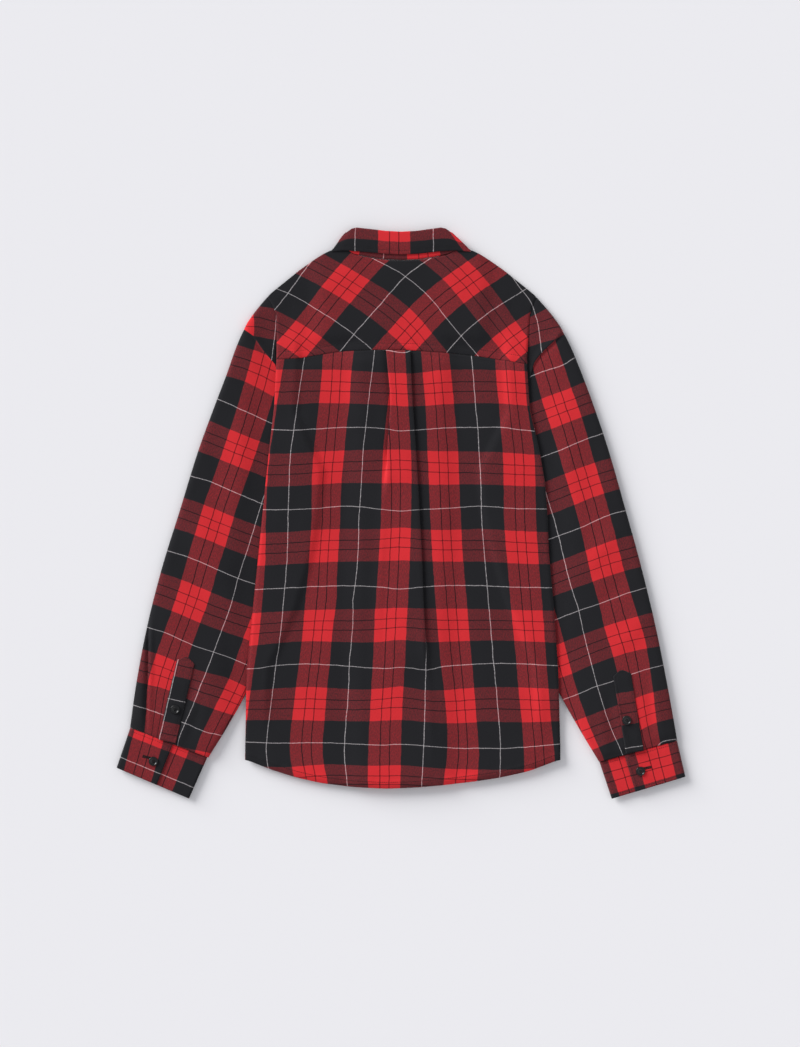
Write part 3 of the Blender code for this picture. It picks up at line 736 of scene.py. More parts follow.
def yokeTop(x, y):
    up = y - yokeSeamY(x)
    relief = softFolds(yokeFolds, x, y) + yoke["uneven"] * (1 + lieUneven(x, y, 23))
    relief = relief * rise(up, 4, 26) * rise(shoulderY(x) - y, 2, 16)
    lip = yoke["lip"] * (1 - rise(up, yoke["stitchIn"] - 3, yoke["stitchIn"] + 2))
    groove = 0.3 * np.exp(-((up - yoke["stitchIn"]) / 1.6) ** 2)
    pucker = 0.16 * np.sin(x / 2.2 + np.sin(x / 13)) * np.exp(-((up - yoke["stitchIn"]) / 5) ** 2)
    seam = 0.4 * np.exp(-((halfWidth(x, y) - np.abs(x)) / 2.2) ** 2) * rise(y, 225, 260)
    return backHeight(x, y) + relief + lip - groove + pucker - seam


def yokeEdge(share, y):
    return share * np.where(share < 0, sideX(y, "left"), sideX(y, "right"))


def buildYoke():
    across, down = through(yokeAcross, 0.002), through(yokeDown, 0.002)
    shares = np.linspace(-1, 1, 121)
    width = shoulderLine[-1][0]
    top = shoulderY(shares * width) - yoke["wall"] / 2
    fold = np.abs(shares * width) >= neckHalf
    radius = np.where(fold, (backHeight(shares * width, top) - frontHeight(shares * width, top)) / 2, 0)
    bottom = yokeSeamY(shares * yokeSeam[-1][0])
    parts = np.concatenate(([0, 0.004, 0.012], np.linspace(0.03, 1, 46)))[:, None]
    y = bottom + (top - radius - bottom) * parts
    x = yokeEdge(shares[None, :] + 0 * y, y)
    z = yokeTop(x, y) - sideRoll(x, y, 4.0, 1.2) * (1 - rise(y, *lie["yokeFade"]))
    z[0] -= 0.45
    z[1] -= 0.12
    patches = [dict(x=x, y=y, z=z, u=across(x, y), v=down(x, y))]
    for sign in (-1, 1):
        # cloth that turns over the shoulder to the front
        pick = np.where((np.sign(shares) == sign) & (np.abs(shares * width) >= neckHalf - 2))[0]
        rowX, rowY, rowZ, reach = [x[-1, pick]], [y[-1, pick]], [z[-1, pick]], [0 * pick]
        r = np.maximum(radius[pick], 0.9)
        low = z[-1, pick] - 2 * r
        for degrees in (67, 45, 22, 0, -22, -45, -67, -90):
            a = math.radians(degrees)
            rowX.append(x[-1, pick])
            rowY.append(y[-1, pick] + r * math.cos(a))
            rowZ.append(low + r + r * math.sin(a))
            reach.append(r * math.radians(90 - degrees))
        for part in np.linspace(0.08, 1, 14):
            yy = y[-1, pick] - (yoke["flapDepth"] - r) * part
            xx = yokeEdge(shares[pick], yy)
            rowX.append(xx)
            rowY.append(yy)
            rowZ.append(low * (1 - rise(part, 0, 0.3)) + frontHeight(xx, yy) * rise(part, 0, 0.3))
            reach.append(r * math.pi + (yoke["flapDepth"] - r) * part)
        gx, gy, gz, away = (np.array(rows, float) for rows in (rowX, rowY, rowZ, reach))
        pastFold = y[-1, pick] + away      # the check runs on over the shoulder
        patches.append(dict(x=gx, y=gy, z=gz, u=across(gx, pastFold), v=down(gx, pastFold)))
    return sewSheet("yokePanel", patches, yoke["wall"], cloth, ["yoke"])


yokePanel = buildYoke()
print("yoke sewn")

sleeve = {
    "wall": 1.0, "along": 3.0, "uneven": 0.5, "endDrop": 1.7,
    "rollOuter": 9.0, "rollInner": 6.0,                         # how far each fold rounds off
    "capLip": 1.3, "capBow": 1.6, "allowance": 2.0, "seamFoot": 213,
    "capLeast": 0.03, "foldLeast": 0.012,                       # keep a pale line off cap and fold
    "edgeGap": {"left": 0.4, "right": 1.5},                     # dip beside the body's edge
}
# crease below each cap: from the arm's outline to the armhole, then on under the body
creases = {
    "left": ((219, 257), (206, 248), (192, 227), (175, 207), (163, 138), (125.5, 55)),
    "right": ((226, 254), (214, 241), (196, 224), (186, 211), (183, 200), (166, 138), (125.5, 55)),
}
sleeveAcross = {
    "left": threads((
        (0.295, (-204, 236), (-227, 155), (-253, 76), (-275, 14), (-298, -61), (-320, -135),
         (-342, -196), (-354, -239), (-359, -306)),
        (0.705, (-179, 161), (-198, 100), (-216, 47), (-246, -47), (-265, -109), (-292, -184),
         (-298, -203)),
        (1, (-192, 23), (-228, -91), (-262, -194), (-277, -233), (-287, -259), (-296, -281),
         (-310, -314)),
        (1.295, (-205, -132), (-220, -173), (-241, -232)),
    )),
    "right": threads((
        (0.295, (185, 202), (197, 159), (210, 118), (229, 55), (243, 9), (256, -43), (268, -96),
         (284, -159), (298, -205)),
        (0.705, (216, 241), (238, 176), (253, 133), (271, 70), (284, 27), (301, -37), (322, -114),
         (341, -176), (353, -252), (363, -323)),
        (0, (203, 28), (220, -30), (249, -137), (272, -233), (293, -299), (310, -338)),
        (-0.295, (213, -128), (228, -180), (242, -233)),
    )),
}
sleeveDown = {
    "left": threads((
        (0.705, (-227, 235), (-205, 228)), (0.295, (-244, 192), (-218, 184)),
        (0, (-257, 160), (-228, 147), (-179, 125)), (-0.295, (-267, 129), (-184, 96)),
        (-0.705, (-281, 86), (-191, 51)), (-1, (-294, 52), (-263, 43), (-248, 36), (-194, 13)),
        (-1.295, (-301, 21), (-195, -19)), (-1.705, (-316, -21), (-199, -65)),
        (-2, (-325, -53), (-298, -61), (-256, -79), (-228, -91), (-202, -100)),
        (-2.295, (-333, -84), (-205, -132)), (-2.705, (-345, -128), (-200, -182)),
        (-3, (-350, -161), (-332, -166), (-292, -184), (-262, -194), (-230, -206), (-207, -216)),
        (-3.295, (-361, -190), (-342, -196), (-290, -217), (-241, -231)),
        (-3.705, (-369, -236), (-326, -247), (-296, -261), (-258, -275)),
        (-4, (-375, -268), (-358, -273), (-335, -281), (-296, -296), (-272, -306), (-254, -310)),
        (-4.295, (-298, -329), (-285, -331.5), (-272, -334)),
    )),
    "right": threads((
        (0, (177, 189), (192, 196), (228, 208), (242, 217)), (-0.295, (181, 154), (255, 183)),
        (-0.705, (192, 111), (272, 141)), (-1, (197, 79), (217, 86), (262, 105), (281, 111)),
        (-1.295, (204, 45), (292, 77)), (-1.705, (207, -2), (306, 34)),
        (-2, (208, -36), (249, -21), (292, -2), (315, 4)), (-2.295, (209, -71), (325, -30)),
        (-2.705, (211, -117), (335, -75)),
        (-3, (214, -150), (249, -136), (276, -127), (316, -112), (343, -104)),
        (-3.295, (228, -180), (351, -139)), (-3.705, (238, -225), (361, -186)),
        (-4, (229, -260), (273, -242), (290, -237), (317, -227), (344, -218), (368, -212)),
        (-4.295, (253, -287), (295, -271), (326, -259), (374, -245)),
        (-4.705, (272, -329), (308, -314), (335, -303), (382, -287)),
        (-5, (345, -338), (355, -331), (364, -320), (385, -316)),
    )),
}
capAcross = {
    "left": threads(((0, (-174.5, 281), (-175, 272), (-178, 238), (-181, 216)),
                     (-0.06, (-179, 291), (-183, 296), (-187, 301)),
                     (-0.295, (-206, 276), (-206, 248)))),
    "right": threads(((0, (186, 284), (191, 268), (194, 248), (197, 225)),
                      (0.295, (218, 276), (227, 248)))),
}
capDown = {
    "left": threads(((0.705, (-194, 289), (-174, 286)), (0.5585, (-200, 274), (-176, 268)),
                     (0.4415, (-213, 261), (-179, 255)), (0.295, (-206, 248), (-176, 243)))),
    "right": threads(((0.705, (180, 274), (203, 286)), (0.5585, (180, 264), (214, 274)),
                      (0.4415, (180, 250), (224, 261)), (0.295, (180, 233), (211, 242), (230, 246)))),
}
sleeveFolds = {
    "left": (
        ((-278, -236), (-311, -322), 5, 1.7), ((-285, -232), (-318, -318), 5, -1.1),
        ((-348.6, -160), (-353, -300), 2.4, 1.8), ((-353.2, -150), (-357.2, -306), 1.9, -4.5),
        ((-362, -230), (-366, -300), 4, 0.8), ((-345, -196), (-350, -300), 4, -0.6),
        ((-262, -190), (-283, -336), 9, 1.0), ((-232, 130), (-215, 20), 14, 1.0),
        ((-262, 90), (-250, -40), 12, -0.8), ((-300, -20), (-240, -90), 13, 1.2),
        ((-316, -60), (-270, -120), 11, -0.9), ((-225, 190), (-190, 130), 12, -0.8),
        ((-338, -130), (-290, -200), 12, 1.0), ((-250, -120), (-236, -240), 10, -0.7),
        ((-372, -262), (-340, -300), 7, 0.9),
    ),
    "right": (
        ((300, -262), (318, -334), 5, 1.3), ((290, -250), (300, -335), 7, -1.0),
        ((352, -220), (368, -312), 6, 1.1), ((344, -230), (352, -318), 5, -0.8),
        ((240, 130), (226, 10), 14, 1.0), ((268, 90), (262, -50), 12, -0.8),
        ((312, -10), (255, -84), 13, 1.2), ((325, -60), (285, -130), 11, -0.9),
        ((346, -140), (300, -196), 12, 1.0), ((250, -110), (262, -260), 10, -0.7),
        ((232, 196), (206, 140), 12, -0.8), ((276, -262), (288, -338), 6, 0.9),
    ),
}


def creaseY(x, side):
    visible = [point for point in creases[side] if point[1] > 195]
    return along(visible, np.abs(x))


def sleeveTop(x, y, side, cap=False):
    # middle height of the sleeve's upper layer
    clear = np.abs(x) - sideX(y, side)
    shows = rise(clear, -4, 14)
    z = lie["sleeveTop"] + lie["sleevePuff"] * rise(clear, 8, 45)
    z = z + shows * (softFolds(sleeveFolds[side], x, y) + sleeve["uneven"] * (1 + lieUneven(x, y, 31)))
    above = y - creaseY(x, side)
    near = rise(clear, -2, 6) * rise(creases[side][0][0] + 4 - np.abs(x), 0, 8)
    z = z - sleeve["edgeGap"][side] * np.exp(-((clear - 1.5) / 3) ** 2) * (1 - rise(y, 190, 215))
    if cap:
        seam = 0.5 * np.exp(-((np.abs(x) - halfWidth(x, y)) / 2.5) ** 2)
        return z + near * sleeve["capLip"] * (1 - rise(above, 0, 16)) - seam
    low = sleeve["capLip"] * (1 - rise(-above, 0, 2.2)) - 0.9 * np.exp(-((above + 5) / 4) ** 2)
    return z + near * low


def onLine(points, shares):
    # points these shares of the way along a line of straight runs
    line = np.array(points, float)
    length = arcLength(line)
    return np.stack([np.interp(shares * length[-1], length, line[:, k]) for k in range(2)], -1)


def smoothBetween(keys, at, wanted):
    # smooth run through key lines that lie at these distances
    secant = np.diff(keys, axis=0) / np.diff(at)[:, None, None]
    before, after = secant[:-1], secant[1:]
    both = before + after
    slope = np.concatenate((secant[:1], np.where(before * after > 0, 2 * before * after
                                                 / np.where(both == 0, 1, both), 0), secant[-1:]))
    index = np.clip(np.searchsorted(at, wanted, side="right") - 1, 0, len(at) - 2)
    gap = (at[index + 1] - at[index])[:, None, None]
    t = ((wanted - at[index])[:, None, None]) / gap
    a, b = keys[index], keys[index + 1]
    ma, mb = slope[index] * gap, slope[index + 1] * gap
    return ((2 * t ** 3 - 3 * t ** 2 + 1) * a + (t ** 3 - 2 * t ** 2 + t) * ma
            + (3 * t ** 2 - 2 * t ** 3) * b + (t ** 3 - t ** 2) * mb)


def tubeRing(line, side, cap):
    # a flattened ring over a line of points across the arm, outer fold first
    length = arcLength(line)
    run = length / length[-1]
    bottom = lie["sleeveRest"]
    zTop = sleeveTop(line[:, 0] * signs[side], line[:, 1], side, cap)
    ring = []
    # the upper layer comes down in a soft curve at both folds
    for share in np.concatenate(([0.0], 0.5 - 0.5 * np.cos(np.linspace(0.12, math.pi - 0.12, 44)), [1.0])):
        x, y, z = (np.interp(share, run, column) for column in (line[:, 0], line[:, 1], zTop))
        inside = min(share, 1 - share) * length[-1]
        reach = sleeve["rollOuter"] if share < 0.5 else sleeve["rollInner"]
        curve = math.sqrt(max(0.0, 1 - max(0.0, 1 - inside / reach) ** 2))
        middle = bottom + 0.45 * (z - bottom)
        ring.append((x, y, middle + (z - middle) * curve))
    for share in (0.985, 0.93, 0.8, 0.6, 0.4, 0.2, 0.07, 0.015):
        x, y = (np.interp(share, run, column) for column in (line[:, 0], line[:, 1]))
        ring.append((x, y, bottom))
    return [*ring, ring[0]]


def buildSleeve(side):
    sign = signs[side]
    shares = np.linspace(0, 1, 60)
    lines = [armholes[side], creases[side]]
    lines += [(row[:2], row[2:]) for row in sleeveRows[side][1:]]
    keys = np.array([onLine(line, shares) for line in lines])
    steps = np.linalg.norm(np.diff(keys, axis=0), axis=2).mean(axis=1)
    at = np.concatenate(([0], np.cumsum(steps)))
    capRows = np.linspace(0, at[1], 18)
    lowRows = np.concatenate((at[1] + np.array((0, 0.7, 1.5, 2.4, 3.6)),
                              np.arange(at[1] + 6, at[-1] - 1, sleeve["along"]), [at[-1]]))
    patches = []
    for rows, cap, across, down in ((capRows, True, capAcross, capDown),
                                    (lowRows, False, sleeveAcross, sleeveDown)):
        lineGrid = smoothBetween(keys, at, rows)
        if cap:
            # the cap rounds out between the armhole and the crease
            bow = sleeve["capBow"] * np.sin(math.pi * rows / at[1])[:, None] * (1 - shares[None, :]) ** 4
            lineGrid = lineGrid + bow[..., None] * np.array((0.8, 0.6))
        grid = np.array([tubeRing(line, side, cap) for line in lineGrid])
        x, y, z = grid[..., 0] * sign, grid[..., 1], grid[..., 2]
        end = 1 - rise(at[-1] - rows, 0, 12)[:, None]
        z = z - sleeve["endDrop"] * end * rise(z, lie["sleeveRest"] + 1, lie["sleeveRest"] + 4)
        if cap:
            # the armhole seam's allowance lies under the yoke and the back
            inward = np.where(y[0] > sleeve["seamFoot"], sleeve["allowance"], 0)
            x = np.vstack((x[0] - sign * inward, x))
            y = np.vstack((y[0], y))
            z = np.vstack((np.where(z[0] > 2, z[0] - 0.8, z[0]), z))
            capEdge = grid[-1]
        else:
            z[0] = capEdge[:, 2]
        u, v = through(across[side], 0.003)(x, y), through(down[side], 0.003)(x, y)
        if cap:
            v = np.maximum(v, sleeve["capLeast"])
        elif side == "left":
            # no pale line runs down the outer fold
            u = np.maximum(u, sleeve["foldLeast"])
        # the lower layer is the same check, seen through from the far side
        patches.append(dict(x=x, y=y, z=z, u=u, v=v, flip=sign > 0))
    return sewSheet(f"{side}Sleeve", patches, sleeve["wall"], cloth, [f"sleeve_{side}"])


leftSleeve, rightSleeve = buildSleeve("left"), buildSleeve("right")
print("sleeves sewn")

# lapEnd and lapHidden are shares of the width where the upper and the lower lap end
cuff = {
    "wall": 1.5, "gap": 0.3, "lapEnd": {"left": 0.55, "right": 0.68}, "lapHidden": 0.27,
    "stitchIn": 4.0, "spacing": 2.4, "foldIn": 0.022,
}
# upper and lower edge: outer x, outer y, inner x, inner y
cuffEdges = {
    "left": ((379, -300, 270.4, -342), (398, -356, 296, -399.5)),
    "right": ((386.2, -318, 277.8, -348), (398, -368.5, 295, -399.5)),
}
# check across each lap: two shares of the width, each with its place in the repeat;
# and down the cuff: place in the repeat at the top edge and at the foot
cuffCheck = {
    "left": {"over": ((0.078, 0.295), (0.452, 0.705)), "under": ((0.527, 0.46), (0.76, 0.705)),
             "lean": 0.04, "down": (0.40, -0.145)},
    "right": {"over": ((0.119, 0.295), (0.543, 0.705)), "under": ((0.684, 0.487), (0.895, 0.705)),
              "lean": 0, "down": (0.705, 0.241)},
}


def cuffPlace(side, layer, across):
    (a0, u0), (a1, u1) = cuffCheck[side][layer]
    return u0 + (across - a0) * (u1 - u0) / (a1 - a0)


def cuffSize(side):
    top, foot = cuffEdges[side]
    return math.dist(top[:2], top[2:]), math.dist(top[:2], foot[:2])


def cuffPoint(side, across, down):
    top, foot = (np.array(edge) for edge in cuffEdges[side])
    across, down = np.asarray(across, float), np.asarray(down, float)
    edge = top * (1 - down[..., None]) + foot * down[..., None]
    return edge[..., :2] * (1 - across[..., None]) + edge[..., 2:] * across[..., None]


def cuffSkin(across, down, width, high):
    # quilted look: full in the middle, pressed flat along the edge stitching
    puff = 0.35 * np.sin(math.pi * np.clip(down, 0, 1)) ** 0.5
    groove = sum(np.exp(-((d - cuff["stitchIn"]) / 1.3) ** 2) for d in (down * high, (1 - down) * high))
    ripple = np.sin(across * width / 2.1) * np.exp(-((down * high - 4) / 5) ** 2) * 0.12
    return puff - 0.3 * groove + ripple


def buildCuff(side):
    sign = signs[side]
    low = cuff["wall"] / 2
    layer = cuff["wall"] + cuff["gap"]
    under, upper = low + layer, low + 2 * layer
    width, high = cuffSize(side)
    inset, lapEnd = cuff["foldIn"], cuff["lapEnd"][side]
    # shares of the width and heights round the folded band, from the upper lap's end to the lower's
    path = [(lapEnd, upper), (0.3, upper), (0.06, upper), (inset, upper - 0.2),
            (0.009, upper - 0.8), (0.006, (low + upper) / 2), (0.009, low + 0.8), (inset, low),
            (0.35, low), (0.7, low), (1 - inset, low), (0.994, low + 0.5), (0.994, under - 0.5),
            (1 - inset, under), (0.85, under), (lapEnd + 0.08, under),
            (cuff["lapHidden"], under)]
    line = resample([(a * width, z) for a, z in path], cuff["spacing"])
    down = np.linspace(0, 1, 26)[:, None]
    across = line[None, :, 0] / width + 0 * down
    place = cuffPoint(side, across, down + 0 * across)
    skin = cuffSkin(across, down + 0 * across, width, high)
    outward = np.where(line[None, :, 1] > under - 0.4, 1.0, np.where(line[None, :, 1] < low + 0.1, 0, 0.3))
    z = line[None, :, 1] + skin * outward * np.where(line[None, :, 1] > low + 0.1, 1, 0)
    share, over = line[:, 0] / width, line[:, 1] > under + 0.4
    leaned = share - cuffCheck[side]["lean"] * (down - 0.5)
    u = np.where(over, cuffPlace(side, "over", leaned), cuffPlace(side, "under", share))
    v0, v1 = cuffCheck[side]["down"]
    v = v0 + (v1 - v0) * down + 0 * across
    return sewSheet(f"{side}Cuff", [dict(x=place[..., 0] * sign, y=place[..., 1], z=z, u=u, v=v,
                                         flip=sign < 0)], cuff["wall"], cloth, [f"cuff_{side}"])


placket = {"wall": 1.1, "lift": 1.5, "stitchIn": 3.0, "tip": 6.5, "pastFoot": 5.0, "barDown": 34}
# "u" is the check's place at one edge, and "pale" how far down the pale line crosses
placketPlace = {
    "left": {"top": (-301, -208), "foot": (-326, -314), "width": 25, "u": -0.014, "pale": 55},
    "right": {"top": (309, -226), "foot": (326, -329), "width": 25, "u": 0.73, "pale": 102},
}


def placketAxes(side):
    spec = placketPlace[side]
    top, foot = np.array(spec["top"], float), np.array(spec["foot"], float)
    run = foot - top
    length = np.hypot(*run)
    down = run / length
    return top, down, np.array((-down[1], down[0])), length


def buildPlacket(side):
    spec = placketPlace[side]
    top, down, across, length = placketAxes(side)
    half = spec["width"] / 2
    at = np.concatenate((np.linspace(-placket["tip"], 0, 8)[:-1],
                         np.linspace(0, length + placket["pastFoot"], 44)))
    reach = np.linspace(-1, 1, 17)
    rows = []
    for a in at:
        wide = half if a >= 0 else half * (0.16 + 0.84 * (1 + a / placket["tip"]))
        x = top[0] + down[0] * a + across[0] * reach * wide
        y = top[1] + down[1] * a + across[1] * reach * wide
        inside = np.minimum(wide - np.abs(reach * wide), a + placket["tip"])
        z = sleeveTop(x, y, side) + placket["lift"]
        z = z - 0.35 * np.exp(-((inside - placket["stitchIn"]) / 1.0) ** 2)
        z = z - 0.45 * (1 - rise(inside, 0, 1.2)) + 0.2 * np.sin(a / 4.5) * rise(inside, 2, 5)
        v = min((spec["pale"] - a) / check["repeat"], 0.98)
        rows.append((x, y, z, spec["u"] + (reach * wide + half) / check["repeat"], v + 0 * x))
    grids = {key: np.array([row[i] for row in rows]) for i, key in enumerate("xyzuv")}
    return sewSheet(f"{side}SleevePlacket", [grids], placket["wall"], cloth,
                    [f"sleeve_placket_{side}"])


leftCuff, rightCuff = buildCuff("left"), buildCuff("right")
leftPlacket, rightPlacket = buildPlacket("left"), buildPlacket("right")
print("cuffs and plackets sewn")

collar = {
    "wall": 1.4, "stitchIn": 5.5, "roll": 0.9, "rollUnder": 3.2, "bulge": 0.5, "leftWider": 6,
    "fallPlace": (-9.6, 0.136), "spacing": 2.4,
    "standWall": 1.1, "standHigh": 34, "standPlace": (-77, 107, 0.335), "standSpacing": 3.0,
}
# lower x, lower y, upper x, upper y at stations from the back centre round to the front;
# the stand is the neck band and the fall turns down over it
standBack = ((0, 354.4, 0, 388), (24, 355.5, 22, 388.4), (46, 358.6, 42, 389), (66, 363, 56, 388))
standSide = (79, 370, 68, 386)
standFront = tuple((x - 1.4, y + 1, *top) for (x, y), top in
                   zip(reversed(neckFront[1:]), ((62, 362), (52, 343), (38, 320), (22, 303))))
fallBack = ((0, 361.7, 0, 392.2), (24, 362.9, 22, 393.3), (46, 365.4, 44, 396.4), (62, 366.8, 56, 398),
            (76, 367.4, 63, 396.6))
fallSide = (95.3, 363.6, 68.6, 389.4)
fallFront = ((91, 330, 55, 360), (84, 302, 38, 334), (74, 280, 22, 312), (62, 258, 9, 296))
# their heights on the back and on the front
standUp, standDown, fallUp, fallDown = 6.4, 3.1, 8.5, 0.9


def bandStations(back, side, front, up, down, ends=()):
    rows = [(*row, up) for row in back]
    radius = (up - down) / 2
    turn = np.array((side[0] - side[2], side[1] - side[3]), float)
    outward = np.array((-turn[1], turn[0])) / np.hypot(*turn)
    for degrees in np.linspace(38, -90, 8):
        a = math.radians(degrees)
        out = outward * radius * math.cos(a)
        rows.append((side[0] + out[0], side[1] + out[1], side[2] + out[0], side[3] + out[1],
                     down + radius + radius * math.sin(a)))
    rows += [(*row, down) for row in front]
    return np.array(rows + list(ends), float)


def bandGrid(stations, spacing):
    # even stations along the band
    middle = np.stack(((stations[:, 0] + stations[:, 2]) / 2, (stations[:, 1] + stations[:, 3]) / 2,
                       stations[:, 4]), -1)
    length = arcLength(middle)
    at = np.unique(np.concatenate((np.linspace(0, length[-1], int(length[-1] / spacing)), length)))
    at = at[np.concatenate(([True], np.diff(at) > 0.3))]
    return np.stack([np.interp(at, length, stations[:, k]) for k in range(5)], -1), at


def bandFrame(stations):
    # lower and upper edge points, the way up the band and its outward normal
    low, top = stations[:, [0, 1, 4]], stations[:, [2, 3, 4]]
    ahead = np.gradient((low + top) / 2, axis=0)
    up = top - low
    high = np.linalg.norm(up, axis=1)
    up = up / high[:, None]
    normal = np.cross(ahead, up)
    for _ in range(2):
        normal[1:-1] = (normal[:-2] + 2 * normal[1:-1] + normal[2:]) / 4
    return low, up, high, normal / np.linalg.norm(normal, axis=1)[:, None]


def fallSkin(inside, high, run):
    # how far the fall's cloth stands out of its flat band
    bulge = collar["bulge"] * np.sin(math.pi * inside / high)
    groove = 0.28 * np.exp(-((inside - collar["stitchIn"]) / 1.4) ** 2)
    ripple = 0.1 * np.sin(run / 2.3) * np.exp(-((inside - 5) / 4) ** 2)
    return bulge - groove - 0.3 * (1 - rise(inside, 0, 3)) + ripple


def fallStations():
    return bandGrid(bandStations(fallBack, fallSide, fallFront, fallUp, fallDown), collar["spacing"])


def buildFall():
    stations, run = fallStations()
    low, up, high, normal = bandFrame(stations)
    back = rise(stations[:, 4], fallDown, fallUp)[:, None]
    share = np.concatenate((np.linspace(0, 0.1, 4), np.linspace(0.15, 1, 15)))[None, :]
    inside = share * high[:, None]
    place = low[:, None] + up[:, None] * inside[..., None]
    place = place + normal[:, None] * (fallSkin(inside, high[:, None], run[:, None]) * back)[..., None]
    # the fold at the top rolls over to the stand
    rolled = []
    top = low + up * high[:, None]
    for angle in (60, 30, 0, -30, -60, -90):
        a = math.radians(angle)
        rolled.append(top + up * collar["roll"] * math.cos(a)
                      + normal * collar["roll"] * (math.sin(a) - 1))
    rolled.append(top - up * collar["rollUnder"] - normal * 2 * collar["roll"])
    place = np.concatenate((place, np.stack(rolled, 1)), axis=1)
    middle, edge = collar["fallPlace"]
    past = high[:, None] + 0.4 * np.arange(1, 8)[None, :]
    v = np.hstack((edge + inside / check["repeat"], edge + past / check["repeat"]))
    patches = []
    # the check stands upright on the back and follows the band round the fold
    upright = (1 - rise(stations[:, 0], 60, 80)) * (stations[:, 4] > fallUp - 1)
    lean = (place[..., 0] - (stations[:, [0]] + stations[:, [2]]) / 2) * upright[:, None]
    x = place[..., 0]
    for sign in (-1, 1):
        shift = collar["leftWider"] * rise(x, 24, 60) * (1 - rise(x, 72, 96)) * (sign < 0)
        u = 0.5 + (sign * (run[:, None] + lean + shift) - middle) / check["repeat"]
        patches.append(dict(x=(x + shift) * sign, y=place[..., 1], z=place[..., 2], u=u, v=v,
                            flip=sign < 0))
    return sewSheet("collarFall", patches, collar["wall"], cloth, ["collar"])


def collarLines():
    # thread along the fall's free edge, seen on the back
    stations, run = fallStations()
    low, up, high, normal = bandFrame(stations)
    seen = stations[:, 4] > fallUp - 0.1
    inside = collar["stitchIn"] + 0 * high
    lift = fallSkin(inside, high, run) + collar["wall"] / 2
    line = (low + up * inside[:, None] + normal * lift[:, None])[seen]
    return [np.concatenate((line[::-1] * (-1, 1, 1), line[1:]))]


def buildStand():
    reach = lie["lap"] - 5
    lower, upper = standDown, standDown + lie["layer"]
    centre, repeat, edge = collar["standPlace"]
    middle, end = (0, 269.2, 0, 297), (-reach, 272.4, -reach, 297.6)
    leftEnds = [(*middle, lower), (*end, lower)]
    rightEnds = [(16, 273.5, 14, 298.6, upper), (*middle, upper), (*end, upper)]
    patches = []
    for sign, ends in ((-1, leftEnds), (1, rightEnds)):
        # the left end passes the middle, so its last stations are mirrored
        stations, run = bandGrid(bandStations(standBack, standSide, standFront, standUp, standDown,
                                              ends), collar["standSpacing"])
        share = np.linspace(0, 1, 12)[None, :]
        low, top = stations[:, None, :2], stations[:, None, 2:4]
        place = low + (top - low) * share[..., None]
        z = stations[:, 4][:, None] + 0.25 * np.sin(math.pi * share)
        u = 0.5 + (sign * run[:, None] - centre) / repeat + 0 * share
        v = edge + collar["standHigh"] * share / check["repeat"] + 0 * u
        patches.append(dict(x=place[..., 0] * sign, y=place[..., 1], z=z, u=u, v=v, flip=sign < 0))
    return sewSheet("collarStand", patches, collar["standWall"], cloth, ["collar_stand"])


collarFall, collarStand = buildFall(), buildStand()
print("collar sewn")

front = {
    "wall": 1.0, "hemUp": 2, "neckSeam": 1.0, "uneven": 0.25, "top": 268, "foot": -379,
    "paleBelow": 322,       # a pale line crosses this far below the middle, level with the back's
}


def flapEdgeY(x):
    # where a front is sewn to the yoke cloth that turns over the shoulder
    xs = np.linspace(neckHalf, shoulderLine[-1][0], 40)
    ys = shoulderY(xs) - yoke["wall"] / 2 - yoke["flapDepth"]
    return np.interp(np.abs(x), xs, ys)


def buildFront(side):
    sign = signs[side]
    lapLift = lie["layer"] if side == "right" else 0
    parts = np.concatenate((np.linspace(0, 0.1, 14)[:-1], np.linspace(0.1, 1, 110)))
    rows = []
    for part in parts:
        level = front["top"] + (front["foot"] - front["top"]) * part
        edge = float(sideX(max(min(level, 216), -360), side)) - 0.4
        x = np.concatenate((edge - np.array((0, 0.8, 1.8, 3.2)), np.linspace(edge - 6, 60, 34),
                            np.linspace(56, -lie["lap"], 30)))
        neck = along(neckFront, np.abs(x))
        shoulder = flapEdgeY(x) - front["neckSeam"]
        top = np.where(np.abs(x) <= neckHalf, neck, shoulder)
        y = top + (hemY(sign * x) + front["hemUp"] - top) * part
        rows.append((x, y))
    x, y = (np.array([row[i] for row in rows]) for i in range(2))
    for _ in range(2):
        limit = sideX(y, side) - 0.4
        x = np.where(x > 100, 100 + (x - 100) * (limit[:, :1] - 100) / (x[:, :1] - 100), x)
    lapped = 1 - rise(x, *lie["frontFade"])
    z = frontHeight(sign * x, y) + lapLift * lapped
    waves = front["uneven"] * (1 + lieUneven(sign * x, y, 47)) * rise(np.abs(x), 30, 60)
    z = z + waves * rise(sideX(y, side) - x, 4, 20) * 0.6
    z = z + 0.7 * (1 - rise(sideX(y, side) - x, 0, 3)) * (1 - rise(y, *lie["yokeFade"]))
    u, v = sign * x / check["repeat"], (y + front["paleBelow"]) / check["repeat"]
    return sewSheet(f"{side}Front", [dict(x=sign * x, y=y, z=z, u=u, v=v, flip=sign < 0)],
                    front["wall"], cloth, [f"front_{side}"])


leftFront, rightFront = buildFront("left"), buildFront("right")
print("fronts sewn")

button = {
    "radius": 6.5, "thick": 2.2, "sides": 48, "onFront": 7,
    "holes": 4, "holeRadius": 0.85, "holeOut": 1.45, "holeSides": 14,
    "threadRadius": 0.28, "threadSides": 8,
}


